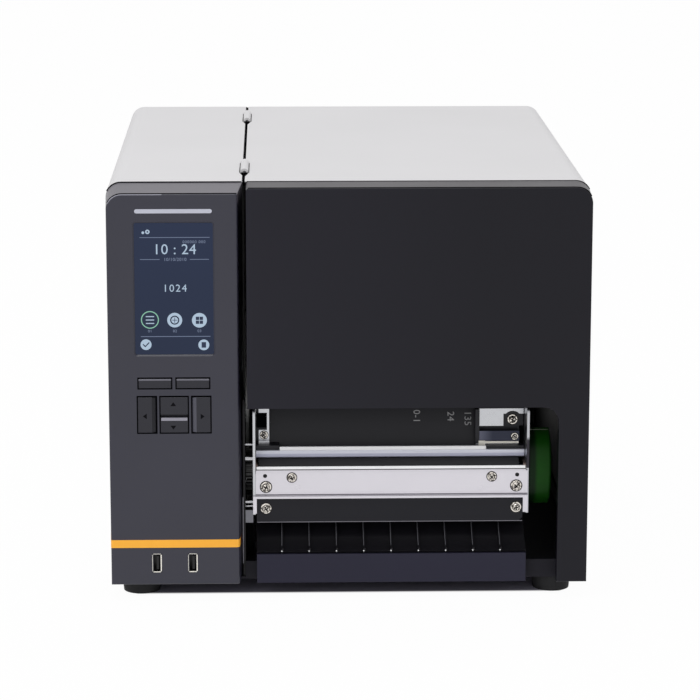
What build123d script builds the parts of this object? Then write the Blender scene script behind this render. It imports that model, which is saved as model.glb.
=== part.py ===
from build123d import *

import os
from math import cos, pi, radians, sin

# Industrial label printer. Millimetres, z up, x to the right seen from the front, front towards -y.
# The origin is on the table, under the middle of the body.
# Heights named "_up" are above the body's underside.

# Whole body
body_width = 393.0
body_depth = 502.0
panel_height = 327.0
foot_height = 14.0
foot_radius = 16.5
foot_inset_x = 26.6
foot_inset_front = 36.0
foot_inset_back = 40.0
foot_taper = 1.5
front_shell_depth = 38.0
shell_seam_gap = 0.8
left_bay_width = 111.65
top_seam_gap = 1.5
cover_sheet = 1.2
moulding_wall = 2.5
cover_corner_radius = 12.5
tongue_length = 8.0
tongue_gap = 0.2
slide_gap = 0.3
shaft_clearance = 0.05
cut_overrun = 4.0
round_end_share = 0.49

# Base pan, centre wall and rear panel
pan_sheet = 2.0
pan_setback = 15.0
pan_side_gap = 4.0
pan_cover_gap = 0.1
pan_door_gap = 1.3
pan_wall_height = 15.0
wall_sheet = 1.8
wall_right_gap = 0.25
wall_tongue_up = 151.0
wall_flange_width = 20.0
wall_lighten_radius = 11.0
wall_lighten_up = 60.0
wall_hole_shares = (0.3, 0.5, 0.7)
rear_sheet = 1.5
rear_setback = 2.5
rear_door_gap = 2.5
fanfold_from_right = 67.6
fanfold_height = 22.0
fanfold_up = 24.0
fanfold_from_wall = 24.0
vent_slots = 10
vent_length = 62.0
vent_width = 3.2
vent_pitch = 9.0
vent_up = 60.0
vent_from_back = 95.0

# Front fascia of the electronics bay
fascia_side_taper = 2.0
fascia_top_taper = 4.4
fascia_inner_taper = 3.8
fascia_inner_gap = 0.6
fascia_edge_radius = 1.1
fascia_inner_edge_radius = 2.6
display_from_left = 55.5
display_width = 63.0
display_height = 107.2
display_drop = 27.6
display_corner = 1.6
display_bevel = 1.2
lens_setback = 1.2
lens_gap = 0.15
module_border = 2.2
module_depth = 6.0
light_width = 61.9
light_height = 3.5
light_drop = 16.1
light_proud = 0.2
light_depth = 8.3
accent_up = 31.3
accent_height = 6.6
accent_depth = 0.7
accent_proud = 0.15
usb_opening_width = 8.1
usb_opening_height = 16.1
usb_first_from_left = 39.15
usb_pitch = 29.25
usb_up = 18.3
usb_depth = 15.0
usb_mouth_width = 5.6
usb_mouth_height = 14.0
usb_mouth_depth = 12.0
usb_tongue = 1.9
usb_tongue_offset = 0.55
usb_tongue_height = 11.2
usb_tongue_setback = 1.5

# Keys
keys_from_left = 54.6
soft_key_width = 27.6
soft_key_height = 9.0
soft_key_gap = 3.0
soft_key_below_display = 19.2
nav_width = 59.8
nav_height = 30.6
nav_below_soft_keys = 6.2
nav_side_width = 16.0
nav_bar = 2.2
nav_upper_share = 0.535
nav_bevel = 3.2
nav_bevel_depth = 1.4
key_proud = 0.3
key_corner = 0.6
key_lip = 0.6
key_lip_sheet = 1.2
key_lip_gap = 0.15
key_switch_gap = 1.0
key_stem = 3.2
board_sheet = 1.6
board_margin = 10.0
board_below_keys = 15.2
board_high_drop = 12.0

# Media cover: front moulding, sheet shell, window, hinges
door_left_gap = 1.1
door_side_taper = 2.3
door_corner_radius = 13.0
door_edge_radius = 0.9
door_corner_cut = 2.0
notch_from_right = 26.8
notch_top_up = 147.1
notch_radius = 13.0
door_lip_depth = 10.0
door_rear_flange = 8.0
window_low_up = 95.0
window_high_up = 285.0
window_from_front = 86.0
window_from_back = 86.0
window_corner = 14.0
window_border = 9.0
window_sheet = 2.0
hinge_from_front = 85.0
hinge_from_back = 105.0
hinge_length = 54.0
hinge_radius = 3.4
hinge_pin_radius = 1.5
hinge_knuckle_gap = 0.3
hinge_notch_gap = 0.7
hinge_taper_length = 26.0
hinge_leaf_sheet = 2.5
hinge_leaf_width = 24.0
hinge_moving_share = 0.4

# Print mechanism
mech_setback = 18.0
side_plate_gap = 6.3
side_plate = 2.0
mech_from_right = 51.1
plate_low_up = 54.0
plate_top_up = 143.0
plate_back_up = 152.0
plate_depth = 114.0
plate_leg_depth = 50.0
plate_leg_front_up = 46.0
plate_flange_width = 15.0
plate_flange_low_up = 56.0
plate_flange_high_up = 87.0
front_plate_low_up = 68.0
front_plate_high_up = 90.0
front_plate_sheet = 2.0
front_lip_depth = 3.5
front_lip_height = 1.8
front_ear_left = 3.0
front_ear_right = 3.9
front_ear_drop = 14.2
front_plate_overlap = 1.0
plate_hole_radius = 1.7
plate_hole_from_end = 7.6
plate_hole_drop = 3.6
tear_sheet = 1.4
tear_depth = 9.0
tear_nose = 1.0
tear_rise = 0.8
lower_plate_low_up = 47.0
lower_plate_corner = 3.5
mount_screw_radius = 4.4
mount_screw_height = 2.6
mount_screw_from_end = 8.3
front_screw_drop = 12.8
lower_screw_drop = 9.0
clamp_screw_radius = 3.8
clamp_screw_height = 2.0
clamp_screw_from_end = 29.5
clamp_screw_drop = 5.0
screw_edge_share = 0.5
screw_crown_share = 0.35
platen_radius = 10.5
platen_up = 87.2
platen_behind = 20.0
platen_right_gap = 5.4
platen_left_gap = 1.0
platen_shaft_radius = 4.0
platen_core_radius = 7.0
bush_radius = 6.5
bush_flange_radius = 8.5
bush_flange = 0.4
bush_depth = 1.6

# Gear train between the centre wall and the left side plate
gear_module = 1.0
gear_width = 5.0
gear_side_gap = 0.7
platen_teeth = 32
idler_teeth = 24
pinion_teeth = 16
tooth_top_share = 0.9
tooth_root_share = 1.15
tooth_tip_width_share = 0.3
tooth_root_width_share = 0.66
tooth_play = 0.25
idler_angle = -35.0
pinion_angle = -15.0
idler_stud_radius = 3.0
motor_shaft_radius = 2.5
motor_shaft_tail = 12.0
motor_size = 56.0
motor_length = 54.0
motor_corner = 6.0
motor_end_share = 0.2
motor_waist_share = 0.98
motor_hole_clearance = 2.0
spacer_radius = 1.2
spacer_small_radius = 0.8
spacer_behind = 6.0
spacer_up = 63.0
spacer_small_up = 59.4
spacer_block_up = 46.6
spacer_block_height = 10.6
spacer_block_depth = 9.0
stay_radius = 0.9
stay_up = 111.6
stay_large_radius = 1.7
stay_large_up = 100.5

# Print head assembly
head_gap = 0.3
head_side_gap = 0.6
sink_depth = 16.0
sink_height = 5.9
sink_behind = 15.0
sink_land = 3.0
head_arm = 2.0
head_pivot_behind = 83.0
head_pivot_up = 134.0
head_pivot_radius = 4.0
head_boss_radius = 9.0
hood_sheet = 2.0
hood_foot_behind = 30.0
hood_mid_behind = 37.0
hood_mid_up = 136.0
hood_top_behind = 63.0
hood_top_up = 158.0
hood_left_inset = 10.2
hood_right_inset = 37.4
end_block_left = 19.3
end_block_right = 31.0
end_block_height = 3.6
bracket_face_behind = 28.0
bracket_sheet = 1.8
left_bracket_from_end = 2.2
left_bracket_width = 8.6
left_bracket_high_up = 136.4
left_bracket_pad_up = 118.4
left_bracket_strip = 3.4
left_bracket_rim = 1.8
left_bracket_lip = 2.4
left_bracket_lip_depth = 4.0
right_bracket_high_up = 135.5
right_bracket_low_up = 120.8
right_bracket_strip = 4.4
right_bracket_relief_x = 9.0
right_bracket_relief_radius = 7.6
right_rail_low_up = 106.4
right_rail_ledge_up = 108.8
right_rail_right = 5.0
right_rail_high_up = 117.6
right_rail_depth = 4.5
head_screw_radius = 4.1
head_post_radius = 2.9
head_small_screw_radius = 3.2
head_screw_height = 2.4

# Release lever
lever_behind = 35.0
lever_up = 88.2
lever_radius = 34.3
lever_hub_radius = 11.0
lever_half_angle = 70.0
lever_gap = 0.8
lever_width = 18.0
lever_wall = 3.0
lever_wall_angle = 8.0
lever_edge_radius = 2.0
lever_stud_radius = 3.5

# Label exit, lower cover and feed table
cover_low_setback = 3.0
cover_low_top_up = 24.0
cover_low_wall = 2.5
cover_low_edge = 0.8
exit_inset = 1.0
exit_sheet = 2.0
exit_start_behind = -12.5
exit_start_up = 24.2
exit_mid_behind = 9.0
exit_mid_up = 35.5
exit_end_behind = 27.0
exit_end_up = 58.0
exit_ribs = 9
exit_rib_first = 20.9
exit_rib_last = 20.5
exit_rib_width = 1.6
exit_rib_height = 2.6
cheek_sheet = 2.0
cheek_behind = 4.0
table_front_behind = 33.0
table_depth = 72.0
table_up = 90.0
table_sheet = 2.0
table_lip = 6.0

# Media path
hanger_from_back = 126.0
hanger_up = 151.0
hanger_radius = 12.0
hanger_bore_radius = 8.0
hanger_from_right = 63.6
hanger_flange_radius = 30.0
hanger_flange = 4.0
guard_radius = 44.0
guard_hub_radius = 18.0
guard_sheet = 3.0
guard_hub_width = 16.0
guard_from_tip = 12.0
guard_windows = 3
guard_window_radius = 11.0
guard_window_circle = 30.0
spindle_radius = 12.5
spindle_shaft_radius = 5.0
spindle_from_right = 85.3
spindle_shaft_tail = 16.0
spindle_flange_radius = 24.0
spindle_flange = 3.0
spindle_tip_bevel = 1.0
bearing_radius = 15.0
bearing_depth = 6.0
supply_from_front = 211.0
supply_up = 248.0
rewind_from_front = 86.0
rewind_up = 226.0
edge_guide_from_right = 36.0
edge_guide_width = 7.0
edge_guide_high = 13.0
edge_guide_behind = 44.0
edge_guide_depth = 42.0
edge_guide_foot = 18.0
edge_guide_sheet = 2.0
edge_guide_gap = 0.2
guide_knob_radius = 6.3
guide_knob_height = 10.4
tension_pivot_behind = 106.0
tension_pivot_up = 103.0
tension_pivot_radius = 3.0
tension_boss_radius = 6.0
tension_arm_sheet = 3.0
tension_arm_inset = 1.5
tension_arm_width = 8.4
tension_bar_behind = 138.0
tension_bar_up = 80.0
tension_bar_radius = 5.0
tension_hook_radius = 7.0

# Electronics and rear sockets
board_main_gap = 14.0
board_main_from_back = 19.0
board_main_length = 208.0
board_main_low_up = 96.0
board_main_high_up = 292.0
chip_height = 4.0
chip_shares = ((0.3, 0.35, 0.9), (0.55, 0.6, 1.2), (0.75, 0.3, 0.7), (0.35, 0.8, 0.6))
heat_block = 34.0
heat_block_height = 18.0
board_post_radius = 3.0
board_post_inset = 9.0
supply_box_left = 9.0
supply_box_width = 66.0
supply_box_from_front = 131.0
supply_box_from_back = 181.0
supply_box_height = 52.0
supply_box_corner = 2.0
supply_slots = 11
supply_slot_width = 5.0
supply_slot_inset = 9.0
inlet_from_left = 46.0
inlet_up = 52.0
inlet_body_width = 30.0
inlet_body_height = 52.0
inlet_body_depth = 26.0
inlet_flange = 2.0
inlet_flange_border = 4.0
inlet_mouth_width = 24.8
inlet_mouth_height = 17.2
inlet_mouth_depth = 16.0
inlet_mouth_drop = 11.5
inlet_mouth_corner = 4.5
inlet_pin_width = 2.0
inlet_pin_height = 4.0
inlet_pin_length = 12.0
inlet_pin_pitch = 7.0
inlet_earth_rise = 4.0
rocker_rise = 13.5
rocker_width = 20.0
rocker_height = 11.6
rocker_swing_gap = 1.3
rocker_tilt = 8.0
rocker_depth = 9.0
rocker_proud = 1.2
rocker_pin_radius = 1.5
rocker_cavity_depth = 17.0
network_from_left = 30.0
network_up = 196.0
network_width = 16.0
network_height = 14.0
network_mouth_width = 11.8
network_mouth_height = 8.4
network_mouth_depth = 12.0
device_from_left = 62.0
device_width = 12.0
device_height = 11.0
device_mouth = 8.4
device_mouth_depth = 9.0
device_core_width = 5.6
device_core_height = 3.2
serial_from_left = 48.0
serial_up = 158.0
serial_width = 31.0
serial_height = 12.5
serial_shell_width = 17.0
serial_shell_height = 8.4
serial_shell_depth = 5.5
serial_shell_wall = 0.8
serial_pin_half = 0.5
serial_pin_count = 9
serial_pin_pitch = 2.75
serial_row_pitch = 2.84
serial_screw_radius = 2.4
serial_screw_pitch = 25.0
socket_depth = 18.0
socket_proud = 1.0

half_width = body_width / 2
front_y = -body_depth / 2
back_y = body_depth / 2
bottom_z = foot_height
top_z = foot_height + panel_height
seam_y = front_y + front_shell_depth
cover_front_y = seam_y + shell_seam_gap
hinge_x = left_bay_width - half_width
left_cover_edge = hinge_x - top_seam_gap / 2
door_edge = hinge_x + top_seam_gap / 2
wall_right = hinge_x - wall_right_gap
wall_left = wall_right - wall_sheet
pan_front = front_y + pan_setback
pan_floor = bottom_z + pan_sheet
rear_y = back_y - rear_setback
rear_front_y = rear_y - rear_sheet
sheet_inner_top = top_z - cover_sheet
leaf_low = sheet_inner_top - hinge_leaf_sheet
mech_front = front_y + mech_setback
left_plate_out = wall_right + side_plate_gap
mech_left = left_plate_out + side_plate
mech_right = half_width - mech_from_right
right_plate_out = mech_right + side_plate
platen_y = mech_front + platen_behind
platen_z = bottom_z + platen_up
fascia_right = left_cover_edge - fascia_inner_gap
hanger_end = half_width - hanger_from_right
display_x = display_from_left - half_width
keys_x = keys_from_left - half_width
fascia_back = front_y + moulding_wall
board_y = fascia_back + module_depth
door_left = door_edge + door_left_gap
notch_top = bottom_z + notch_top_up
notch_right = half_width - notch_from_right
window_front = front_y + window_from_front
window_back = back_y - window_from_back
hinge_starts = (front_y + hinge_from_front, back_y - hinge_from_back)


def block(x, y, z):
    size = [high - low for low, high in (x, y, z)]
    middle = [(low + high) / 2 for low, high in (x, y, z)]
    return Pos(*middle) * Box(*size)


def rod(radius, x, y, z):
    return Pos(sum(x) / 2, y, z) * Rot(0, 90, 0) * Cylinder(radius, x[1] - x[0])


def rod_y(radius, y, x, z):
    return Pos(x, sum(y) / 2, z) * Rot(90, 0, 0) * Cylinder(radius, y[1] - y[0])


def rod_z(radius, z, x, y):
    return Pos(x, y, sum(z) / 2) * Cylinder(radius, z[1] - z[0])


def front_plane(y):
    return Plane(origin=(0, y, 0), x_dir=(1, 0, 0), z_dir=(0, -1, 0))


def side_plane(x):
    return Plane(origin=(x, 0, 0), x_dir=(0, 1, 0), z_dir=(1, 0, 0))


def rounded(points, corners):
    face = make_face(Polyline(*points, close=True))
    for point, radius in corners:
        corner = face.vertices().sort_by_distance((*point, 0))[0]
        face = fillet(corner, radius)
    return face


# A front-view face pushed from y[0] to y[1], and a side-view face pushed from x[0] to x[1].
def push_y(face, y):
    return extrude(front_plane(y[1]) * face, amount=y[1] - y[0])


def push_x(face, x):
    return extrude(side_plane(x[0]) * face, amount=x[1] - x[0])


def panel_hole(x, z, width, height, corner, y):
    return push_y(Pos(x, z) * RectangleRounded(width, height, corner), y)


def ring(outer, inner, x, y, z):
    return rod(outer, x, y, z) - rod(inner, (x[0] - cut_overrun, x[1] + cut_overrun), y, z)


# The fascia narrows towards the front; inset gives the same form a wall further in.
def fascia_section(y, inset):
    share = (seam_y - y) / front_shell_depth
    left = -half_width + fascia_side_taper * share + inset
    right = fascia_right - fascia_inner_taper * share - inset
    top = top_z - fascia_top_taper * share - inset
    low = bottom_z + inset
    face = rounded(
        [(left, low), (right, low), (right, top), (left, top)],
        [((left, top), cover_corner_radius - inset)],
    )
    return front_plane(y) * face


def fascia_body(inset):
    body = loft([fascia_section(seam_y, inset), fascia_section(front_y + inset, inset)])
    rim = body.faces().sort_by(Axis.Y)[0].edges()
    inner = rim.sort_by(Axis.X)[-1]
    body = fillet(inner, fascia_inner_edge_radius - inset)
    rim = body.faces().sort_by(Axis.Y)[0].edges()
    return fillet(rim.sort_by(Axis.X)[:-1], fascia_edge_radius - inset)


def key_spots():
    soft_top = top_z - display_drop - display_height - soft_key_below_display
    soft_z = soft_top - soft_key_height / 2
    soft_step = (soft_key_width + soft_key_gap) / 2
    nav_top = soft_top - soft_key_height - nav_below_soft_keys
    nav_z = nav_top - nav_height / 2
    side_step = (nav_width - nav_side_width) / 2
    middle_width = nav_width - 2 * nav_side_width - 2 * nav_bar
    upper = nav_height * nav_upper_share
    return {
        "soft_key_left": (keys_x - soft_step, soft_z, soft_key_width, soft_key_height),
        "soft_key_right": (keys_x + soft_step, soft_z, soft_key_width, soft_key_height),
        "nav_key_left": (keys_x - side_step, nav_z, nav_side_width, nav_height),
        "nav_key_right": (keys_x + side_step, nav_z, nav_side_width, nav_height),
        "nav_key_up": (keys_x, nav_top - upper / 2, middle_width, upper),
        "nav_key_down": (keys_x, nav_top - (nav_height + upper) / 2, middle_width, nav_height - upper),
    }


def usb_places():
    first = usb_first_from_left - half_width
    return [(first + usb_pitch * number, bottom_z + usb_up) for number in range(2)]


# A rounded opening's edge sloped off at 45 degrees on the front face.
def opening_bevel(x, z, width, height, corner, depth):
    outer = RectangleRounded(width + 2 * depth, height + 2 * depth, corner + depth)
    inner = RectangleRounded(width, height, corner)
    return loft([front_plane(front_y) * Pos(x, z) * outer, front_plane(front_y + depth) * Pos(x, z) * inner])


def make_front_fascia():
    inside = loft([
        fascia_section(seam_y + cut_overrun, moulding_wall),
        fascia_section(fascia_back, moulding_wall),
    ])
    fascia = fascia_body(0) - inside
    through = (front_y - cut_overrun, fascia_back + cut_overrun)
    display_z = top_z - display_drop - display_height / 2
    display = (display_x, display_z, display_width, display_height, display_corner)
    fascia -= panel_hole(*display, through) + opening_bevel(*display, display_bevel)
    light_z = top_z - light_drop - light_height / 2
    light_corner = light_height * round_end_share
    fascia -= panel_hole(display_x, light_z, light_width, light_height, light_corner, through)
    for x, z, width, height in key_spots().values():
        fascia -= panel_hole(x, z, width, height, key_corner, through)
    for x, z in usb_places():
        fascia -= panel_hole(x, z, usb_opening_width, usb_opening_height, key_corner, through)
    band = (bottom_z + accent_up, bottom_z + accent_up + accent_height)
    everywhere = (-body_width, body_width)
    whole = (front_y - cut_overrun, seam_y + cut_overrun)
    fascia -= block(everywhere, whole, band) - fascia_body(accent_depth)
    wall_side = (wall_left - slide_gap, wall_right + cut_overrun)
    wall_tip = (pan_front - slide_gap, seam_y + cut_overrun)
    fascia -= block(wall_side, wall_tip, (bottom_z - cut_overrun, bottom_z + wall_tongue_up + slide_gap))
    pan_room = (pan_front - slide_gap, seam_y + cut_overrun)
    pan_side = (-half_width + moulding_wall, wall_right)
    return fascia - block(pan_side, pan_room, (bottom_z - cut_overrun, pan_floor + slide_gap))


def make_accent_strip():
    band = (bottom_z + accent_up, bottom_z + accent_up + accent_height)
    slice_y = (front_y - cut_overrun, seam_y)
    shell = fascia_body(-accent_proud) - fascia_body(accent_depth)
    strip = shell & block((-body_width, body_width), slice_y, band)
    wall_side = (wall_left - slide_gap, wall_right + cut_overrun)
    wall_tip = (pan_front - slide_gap, seam_y + cut_overrun)
    return strip - block(wall_side, wall_tip, (bottom_z, top_z))


def make_status_light():
    z = top_z - light_drop - light_height / 2
    width = light_width - lens_gap
    height = light_height - lens_gap
    y = (front_y - light_proud, front_y + light_depth)
    return panel_hole(display_x, z, width, height, height * round_end_share, y)


def make_display_lens():
    z = top_z - display_drop - display_height / 2
    width = display_width - 2 * lens_gap
    height = display_height - 2 * lens_gap
    y = (front_y + lens_setback, fascia_back)
    return panel_hole(display_x, z, width, height, display_corner - lens_gap, y)


def make_display_module():
    z = top_z - display_drop - display_height / 2
    width = display_width + 2 * module_border
    height = display_height + 2 * module_border
    return panel_hole(display_x, z, width, height, display_corner, (fascia_back, board_y))


# The board behind the fascia carries one switch behind every key.
def make_control_board():
    left = -half_width + board_margin
    right = fascia_right - board_margin
    x, z, width, height = key_spots()["nav_key_left"]
    low = z - height / 2 - board_below_keys
    high = top_z - board_high_drop
    board = block((left, right), (board_y, board_y + board_sheet), (low, high))
    for x, z, width, height in key_spots().values():
        stem_start = fascia_back + key_lip_gap + key_lip_sheet + key_switch_gap
        half = key_stem
        board += block((x - half, x + half), (stem_start, board_y + board_sheet / 2), (z - half, z + half))
    return board


# Each key is a cap in its opening with a lip behind the fascia wall that keeps it in.
def make_key(name):
    x, z, width, height = key_spots()[name]
    cap_low = z - height / 2 + slide_gap
    cap_high = z + height / 2 - slide_gap
    lip_low = cap_low - key_lip - slide_gap
    lip_high = cap_high + key_lip + slide_gap
    if name == "nav_key_up":
        cap_low = z - height / 2 + slide_gap / 2
        lip_low = cap_low
    if name == "nav_key_down":
        cap_high = z + height / 2 - slide_gap / 2
        lip_high = cap_high
    half = width / 2 - slide_gap
    lip_half = width / 2 + key_lip
    lip_y = (fascia_back + key_lip_gap, fascia_back + key_lip_gap + key_lip_sheet)
    cap = block((x - half, x + half), (front_y - key_proud, lip_y[1]), (cap_low, cap_high))
    sides = [edge for edge in cap.edges().filter_by(Axis.Y)]
    cap = fillet(sides, key_corner)
    if name == "nav_key_down":
        corner = [
            (front_y - key_proud - cut_overrun, cap_high + cut_overrun),
            (front_y - key_proud - cut_overrun, cap_high - nav_bevel),
            (front_y - key_proud, cap_high - nav_bevel),
            (front_y - key_proud + nav_bevel_depth, cap_high),
            (front_y - key_proud + nav_bevel_depth, cap_high + cut_overrun),
        ]
        cap -= push_x(rounded(corner, []), (x - width, x + width))
    return cap + block((x - lip_half, x + lip_half), lip_y, (lip_low, lip_high))


# Two host sockets on edge, each a metal shell with its contact tongue.
def make_front_usb_sockets():
    sockets = []
    for x, z in usb_places():
        half = usb_opening_width / 2 - lens_gap
        tall = usb_opening_height / 2 - lens_gap
        depth = (front_y, front_y + usb_depth)
        shell = panel_hole(x, z, half * 2, tall * 2, key_corner, depth)
        mouth = (x - usb_mouth_width / 2, x + usb_mouth_width / 2)
        mouth_z = (z - usb_mouth_height / 2, z + usb_mouth_height / 2)
        shell -= block(mouth, (front_y - cut_overrun, front_y + usb_mouth_depth), mouth_z)
        tongue_x = x + usb_tongue_offset
        tongue = (tongue_x - usb_tongue / 2, tongue_x + usb_tongue / 2)
        tongue_z = (z - usb_tongue_height / 2, z + usb_tongue_height / 2)
        shell += block(tongue, (front_y + usb_tongue_setback, front_y + usb_depth), tongue_z)
        sockets.append(shell)
    return Compound(children=sockets)


def foot_places():
    x = half_width - foot_inset_x
    front = front_y + foot_inset_front
    back = back_y - foot_inset_back
    return [(-x - foot_taper, front), (x - foot_taper, front), (-x, back), (x, back)]


def make_rubber_feet():
    foot = Cone(foot_radius - foot_taper, foot_radius, foot_height)
    return Compound(children=[Pos(x, y, foot_height / 2) * foot for x, y in foot_places()])


def make_base_pan():
    back_half = (-half_width + cover_sheet + pan_cover_gap, half_width - cover_sheet - pan_door_gap)
    front_half = (-half_width + pan_side_gap, half_width - pan_side_gap - pan_sheet / 2)
    floor = (bottom_z, pan_floor)
    rim = (bottom_z, bottom_z + pan_wall_height)
    pan = block(back_half, (cover_front_y, rear_front_y), floor)
    pan += block(front_half, (pan_front, cover_front_y), floor)
    pan += block((wall_right, front_half[1]), (pan_front, pan_front + pan_sheet), rim)
    pan += block((back_half[1] - pan_sheet, back_half[1]), (cover_front_y, rear_front_y), rim)
    pan += block((back_half[0], back_half[0] + pan_sheet), (cover_front_y, rear_front_y), rim)
    return pan


# The wall between the bays: a plate with a flange at top and bottom and a tongue beside the fascia.
def make_centre_wall():
    top = leaf_low
    outline = [
        (pan_front + pan_sheet, pan_floor),
        (rear_front_y, pan_floor),
        (rear_front_y, top),
        (cover_front_y, top),
        (cover_front_y, bottom_z + wall_tongue_up),
        (pan_front + pan_sheet, bottom_z + wall_tongue_up),
    ]
    corner = (pan_front + pan_sheet, bottom_z + wall_tongue_up)
    wall = push_x(rounded(outline, [(corner, wall_flange_width / 4)]), (wall_left, wall_right))
    flange_x = (wall_left - wall_flange_width, wall_right)
    wall += block(flange_x, (cover_front_y, rear_front_y), (top - wall_sheet, top))
    wall += block(flange_x, (cover_front_y, rear_front_y), (pan_floor, pan_floor + wall_sheet))
    through = (wall_left - cut_overrun, wall_right + cut_overrun)
    for y, z in spindle_places():
        wall -= rod(spindle_shaft_radius + shaft_clearance, through, y, z)
    wall -= rod(motor_shaft_radius + motor_hole_clearance, through, *pinion_place())
    for share in wall_hole_shares:
        y = cover_front_y + (rear_front_y - cover_front_y) * share
        wall -= rod(wall_lighten_radius, through, y, bottom_z + wall_lighten_up)
    return wall


# Cover outline seen from the front: side wall x, inner end x, and how far in from the outside.
def cover_region(side, end, inset, radius, extra):
    wall_x = side * (half_width - inset)
    low = bottom_z - extra
    top = top_z - inset
    corner = (wall_x, top)
    end_x = end - side * extra
    return rounded([(wall_x, low), corner, (end_x, top), (end_x, low)], [(corner, radius - inset)])


def cover_band(side, end, radius, near, far, y):
    return push_y(
        cover_region(side, end, near, radius, 0) - cover_region(side, end, far, radius, cut_overrun), y
    )


def cover_tongue(side, end, radius, taper):
    near = moulding_wall + taper * tongue_length / front_shell_depth + tongue_gap
    far = near + cover_sheet
    step = (cover_front_y, cover_front_y + tongue_length)
    tongue = cover_band(side, end, radius, near, far, (seam_y - tongue_length, step[1]))
    tongue += cover_band(side, end, radius, cover_sheet, far, (step[1] - tongue_length / 2, step[1]))
    pan_top = bottom_z + pan_wall_height + moulding_wall
    everywhere = (-body_width, body_width)
    return tongue - block(everywhere, (front_y, step[1] + cut_overrun), (bottom_z - cut_overrun, pan_top))


# Plan of the pocket for a hinge barrel, running out to a point in the seam.
def hinge_pockets():
    half = hinge_radius + hinge_notch_gap
    cuts = []
    for start in hinge_starts:
        outline = [
            (hinge_x, start - hinge_taper_length),
            (hinge_x + half, start),
            (hinge_x + half, start + hinge_length + hinge_notch_gap),
            (hinge_x - half, start + hinge_length + hinge_notch_gap),
            (hinge_x - half, start),
        ]
        low = top_z - 2 * cover_sheet
        pocket = extrude(Plane.XY.offset(low) * rounded(outline, []), amount=cut_overrun + 2 * cover_sheet)
        cuts.append(pocket)
    return cuts


def make_left_cover():
    radius = cover_corner_radius
    cover = cover_band(-1, left_cover_edge, radius, 0, cover_sheet, (cover_front_y, back_y))
    cover += cover_tongue(-1, wall_left - wall_flange_width - slide_gap, radius, fascia_top_taper)
    for pocket in hinge_pockets():
        cover -= pocket
    slot = RectangleRounded(vent_length, vent_width, vent_width * round_end_share)
    side = (-half_width - cut_overrun, -half_width + cut_overrun)
    for number in range(vent_slots):
        z = bottom_z + vent_up + vent_pitch * number
        cover -= push_x(Pos(back_y - vent_from_back, z) * slot, side)
    return cover


def make_rear_panel():
    left = -half_width + cover_sheet + pan_cover_gap
    right = half_width - cover_sheet - rear_door_gap
    radius = cover_corner_radius
    top = top_z - rear_door_gap
    outline = [(left, pan_floor), (right, pan_floor), (right, top), (left, top)]
    panel = push_y(rounded(outline, [(outline[2], radius), (outline[3], radius)]), (rear_front_y, rear_y))
    through = (rear_front_y - cut_overrun, rear_y + cut_overrun)
    slot_low = bottom_z + fanfold_up
    slot_left = wall_right + fanfold_from_wall
    slot_right = half_width - fanfold_from_right
    panel -= block((slot_left, slot_right), through, (slot_low, slot_low + fanfold_height))
    for x, z, width, height in rear_cutouts():
        panel -= block((x - width / 2, x + width / 2), through, (z - height / 2, z + height / 2))
    slot = RectangleRounded(vent_length, vent_width, vent_width * round_end_share)
    for number in range(vent_slots):
        z = top_z - vent_up / 2 - vent_pitch * number
        panel -= push_y(Pos(display_x, z) * slot, through)
    return panel


def rear_cutouts():
    left = -half_width
    sockets_z = bottom_z + network_up
    return [
        (left + inlet_from_left, bottom_z + inlet_up, inlet_body_width, inlet_body_height),
        (left + network_from_left, sockets_z, network_width, network_height),
        (left + device_from_left, sockets_z, device_width, device_height),
        (left + serial_from_left, bottom_z + serial_up, serial_width, serial_height),
    ]


# Mains inlet with its switch above, one moulding held in the rear panel.
def make_power_inlet():
    x = inlet_from_left - half_width
    z = bottom_z + inlet_up
    half = inlet_body_width / 2
    tall = inlet_body_height / 2
    body = block((x - half, x + half), (rear_y - inlet_body_depth, rear_y), (z - tall, z + tall))
    wide = half + inlet_flange_border
    high = tall + inlet_flange_border
    flange = RectangleRounded(wide * 2, high * 2, inlet_flange_border)
    body += push_y(Pos(x, z) * flange, (rear_y, rear_y + inlet_flange))
    face = rear_y + inlet_flange
    mouth_z = z - inlet_mouth_drop
    body -= panel_hole(
        x, mouth_z, inlet_mouth_width, inlet_mouth_height, inlet_mouth_corner,
        (face - inlet_mouth_depth, face + cut_overrun),
    )
    pin_y = (face - inlet_mouth_depth - inlet_flange / 2, face - inlet_mouth_depth + inlet_pin_length)
    for step, rise in ((-1, 0), (0, inlet_earth_rise), (1, 0)):
        pin_x = x + step * inlet_pin_pitch
        pin_z = mouth_z - inlet_earth_rise / 2 + rise
        body += block(
            (pin_x - inlet_pin_width / 2, pin_x + inlet_pin_width / 2),
            pin_y,
            (pin_z - inlet_pin_height / 2, pin_z + inlet_pin_height / 2),
        )
    rocker_z = z + rocker_rise
    cavity_x = rocker_width / 2 + slide_gap
    cavity_z = rocker_height / 2 + rocker_swing_gap
    body -= block(
        (x - cavity_x, x + cavity_x),
        (face - rocker_cavity_depth, face + cut_overrun),
        (rocker_z - cavity_z, rocker_z + cavity_z),
    )
    pin_x = (x - cavity_x - slide_gap, x + cavity_x + slide_gap)
    return body + rod(rocker_pin_radius, pin_x, face - rocker_depth, rocker_z)


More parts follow.
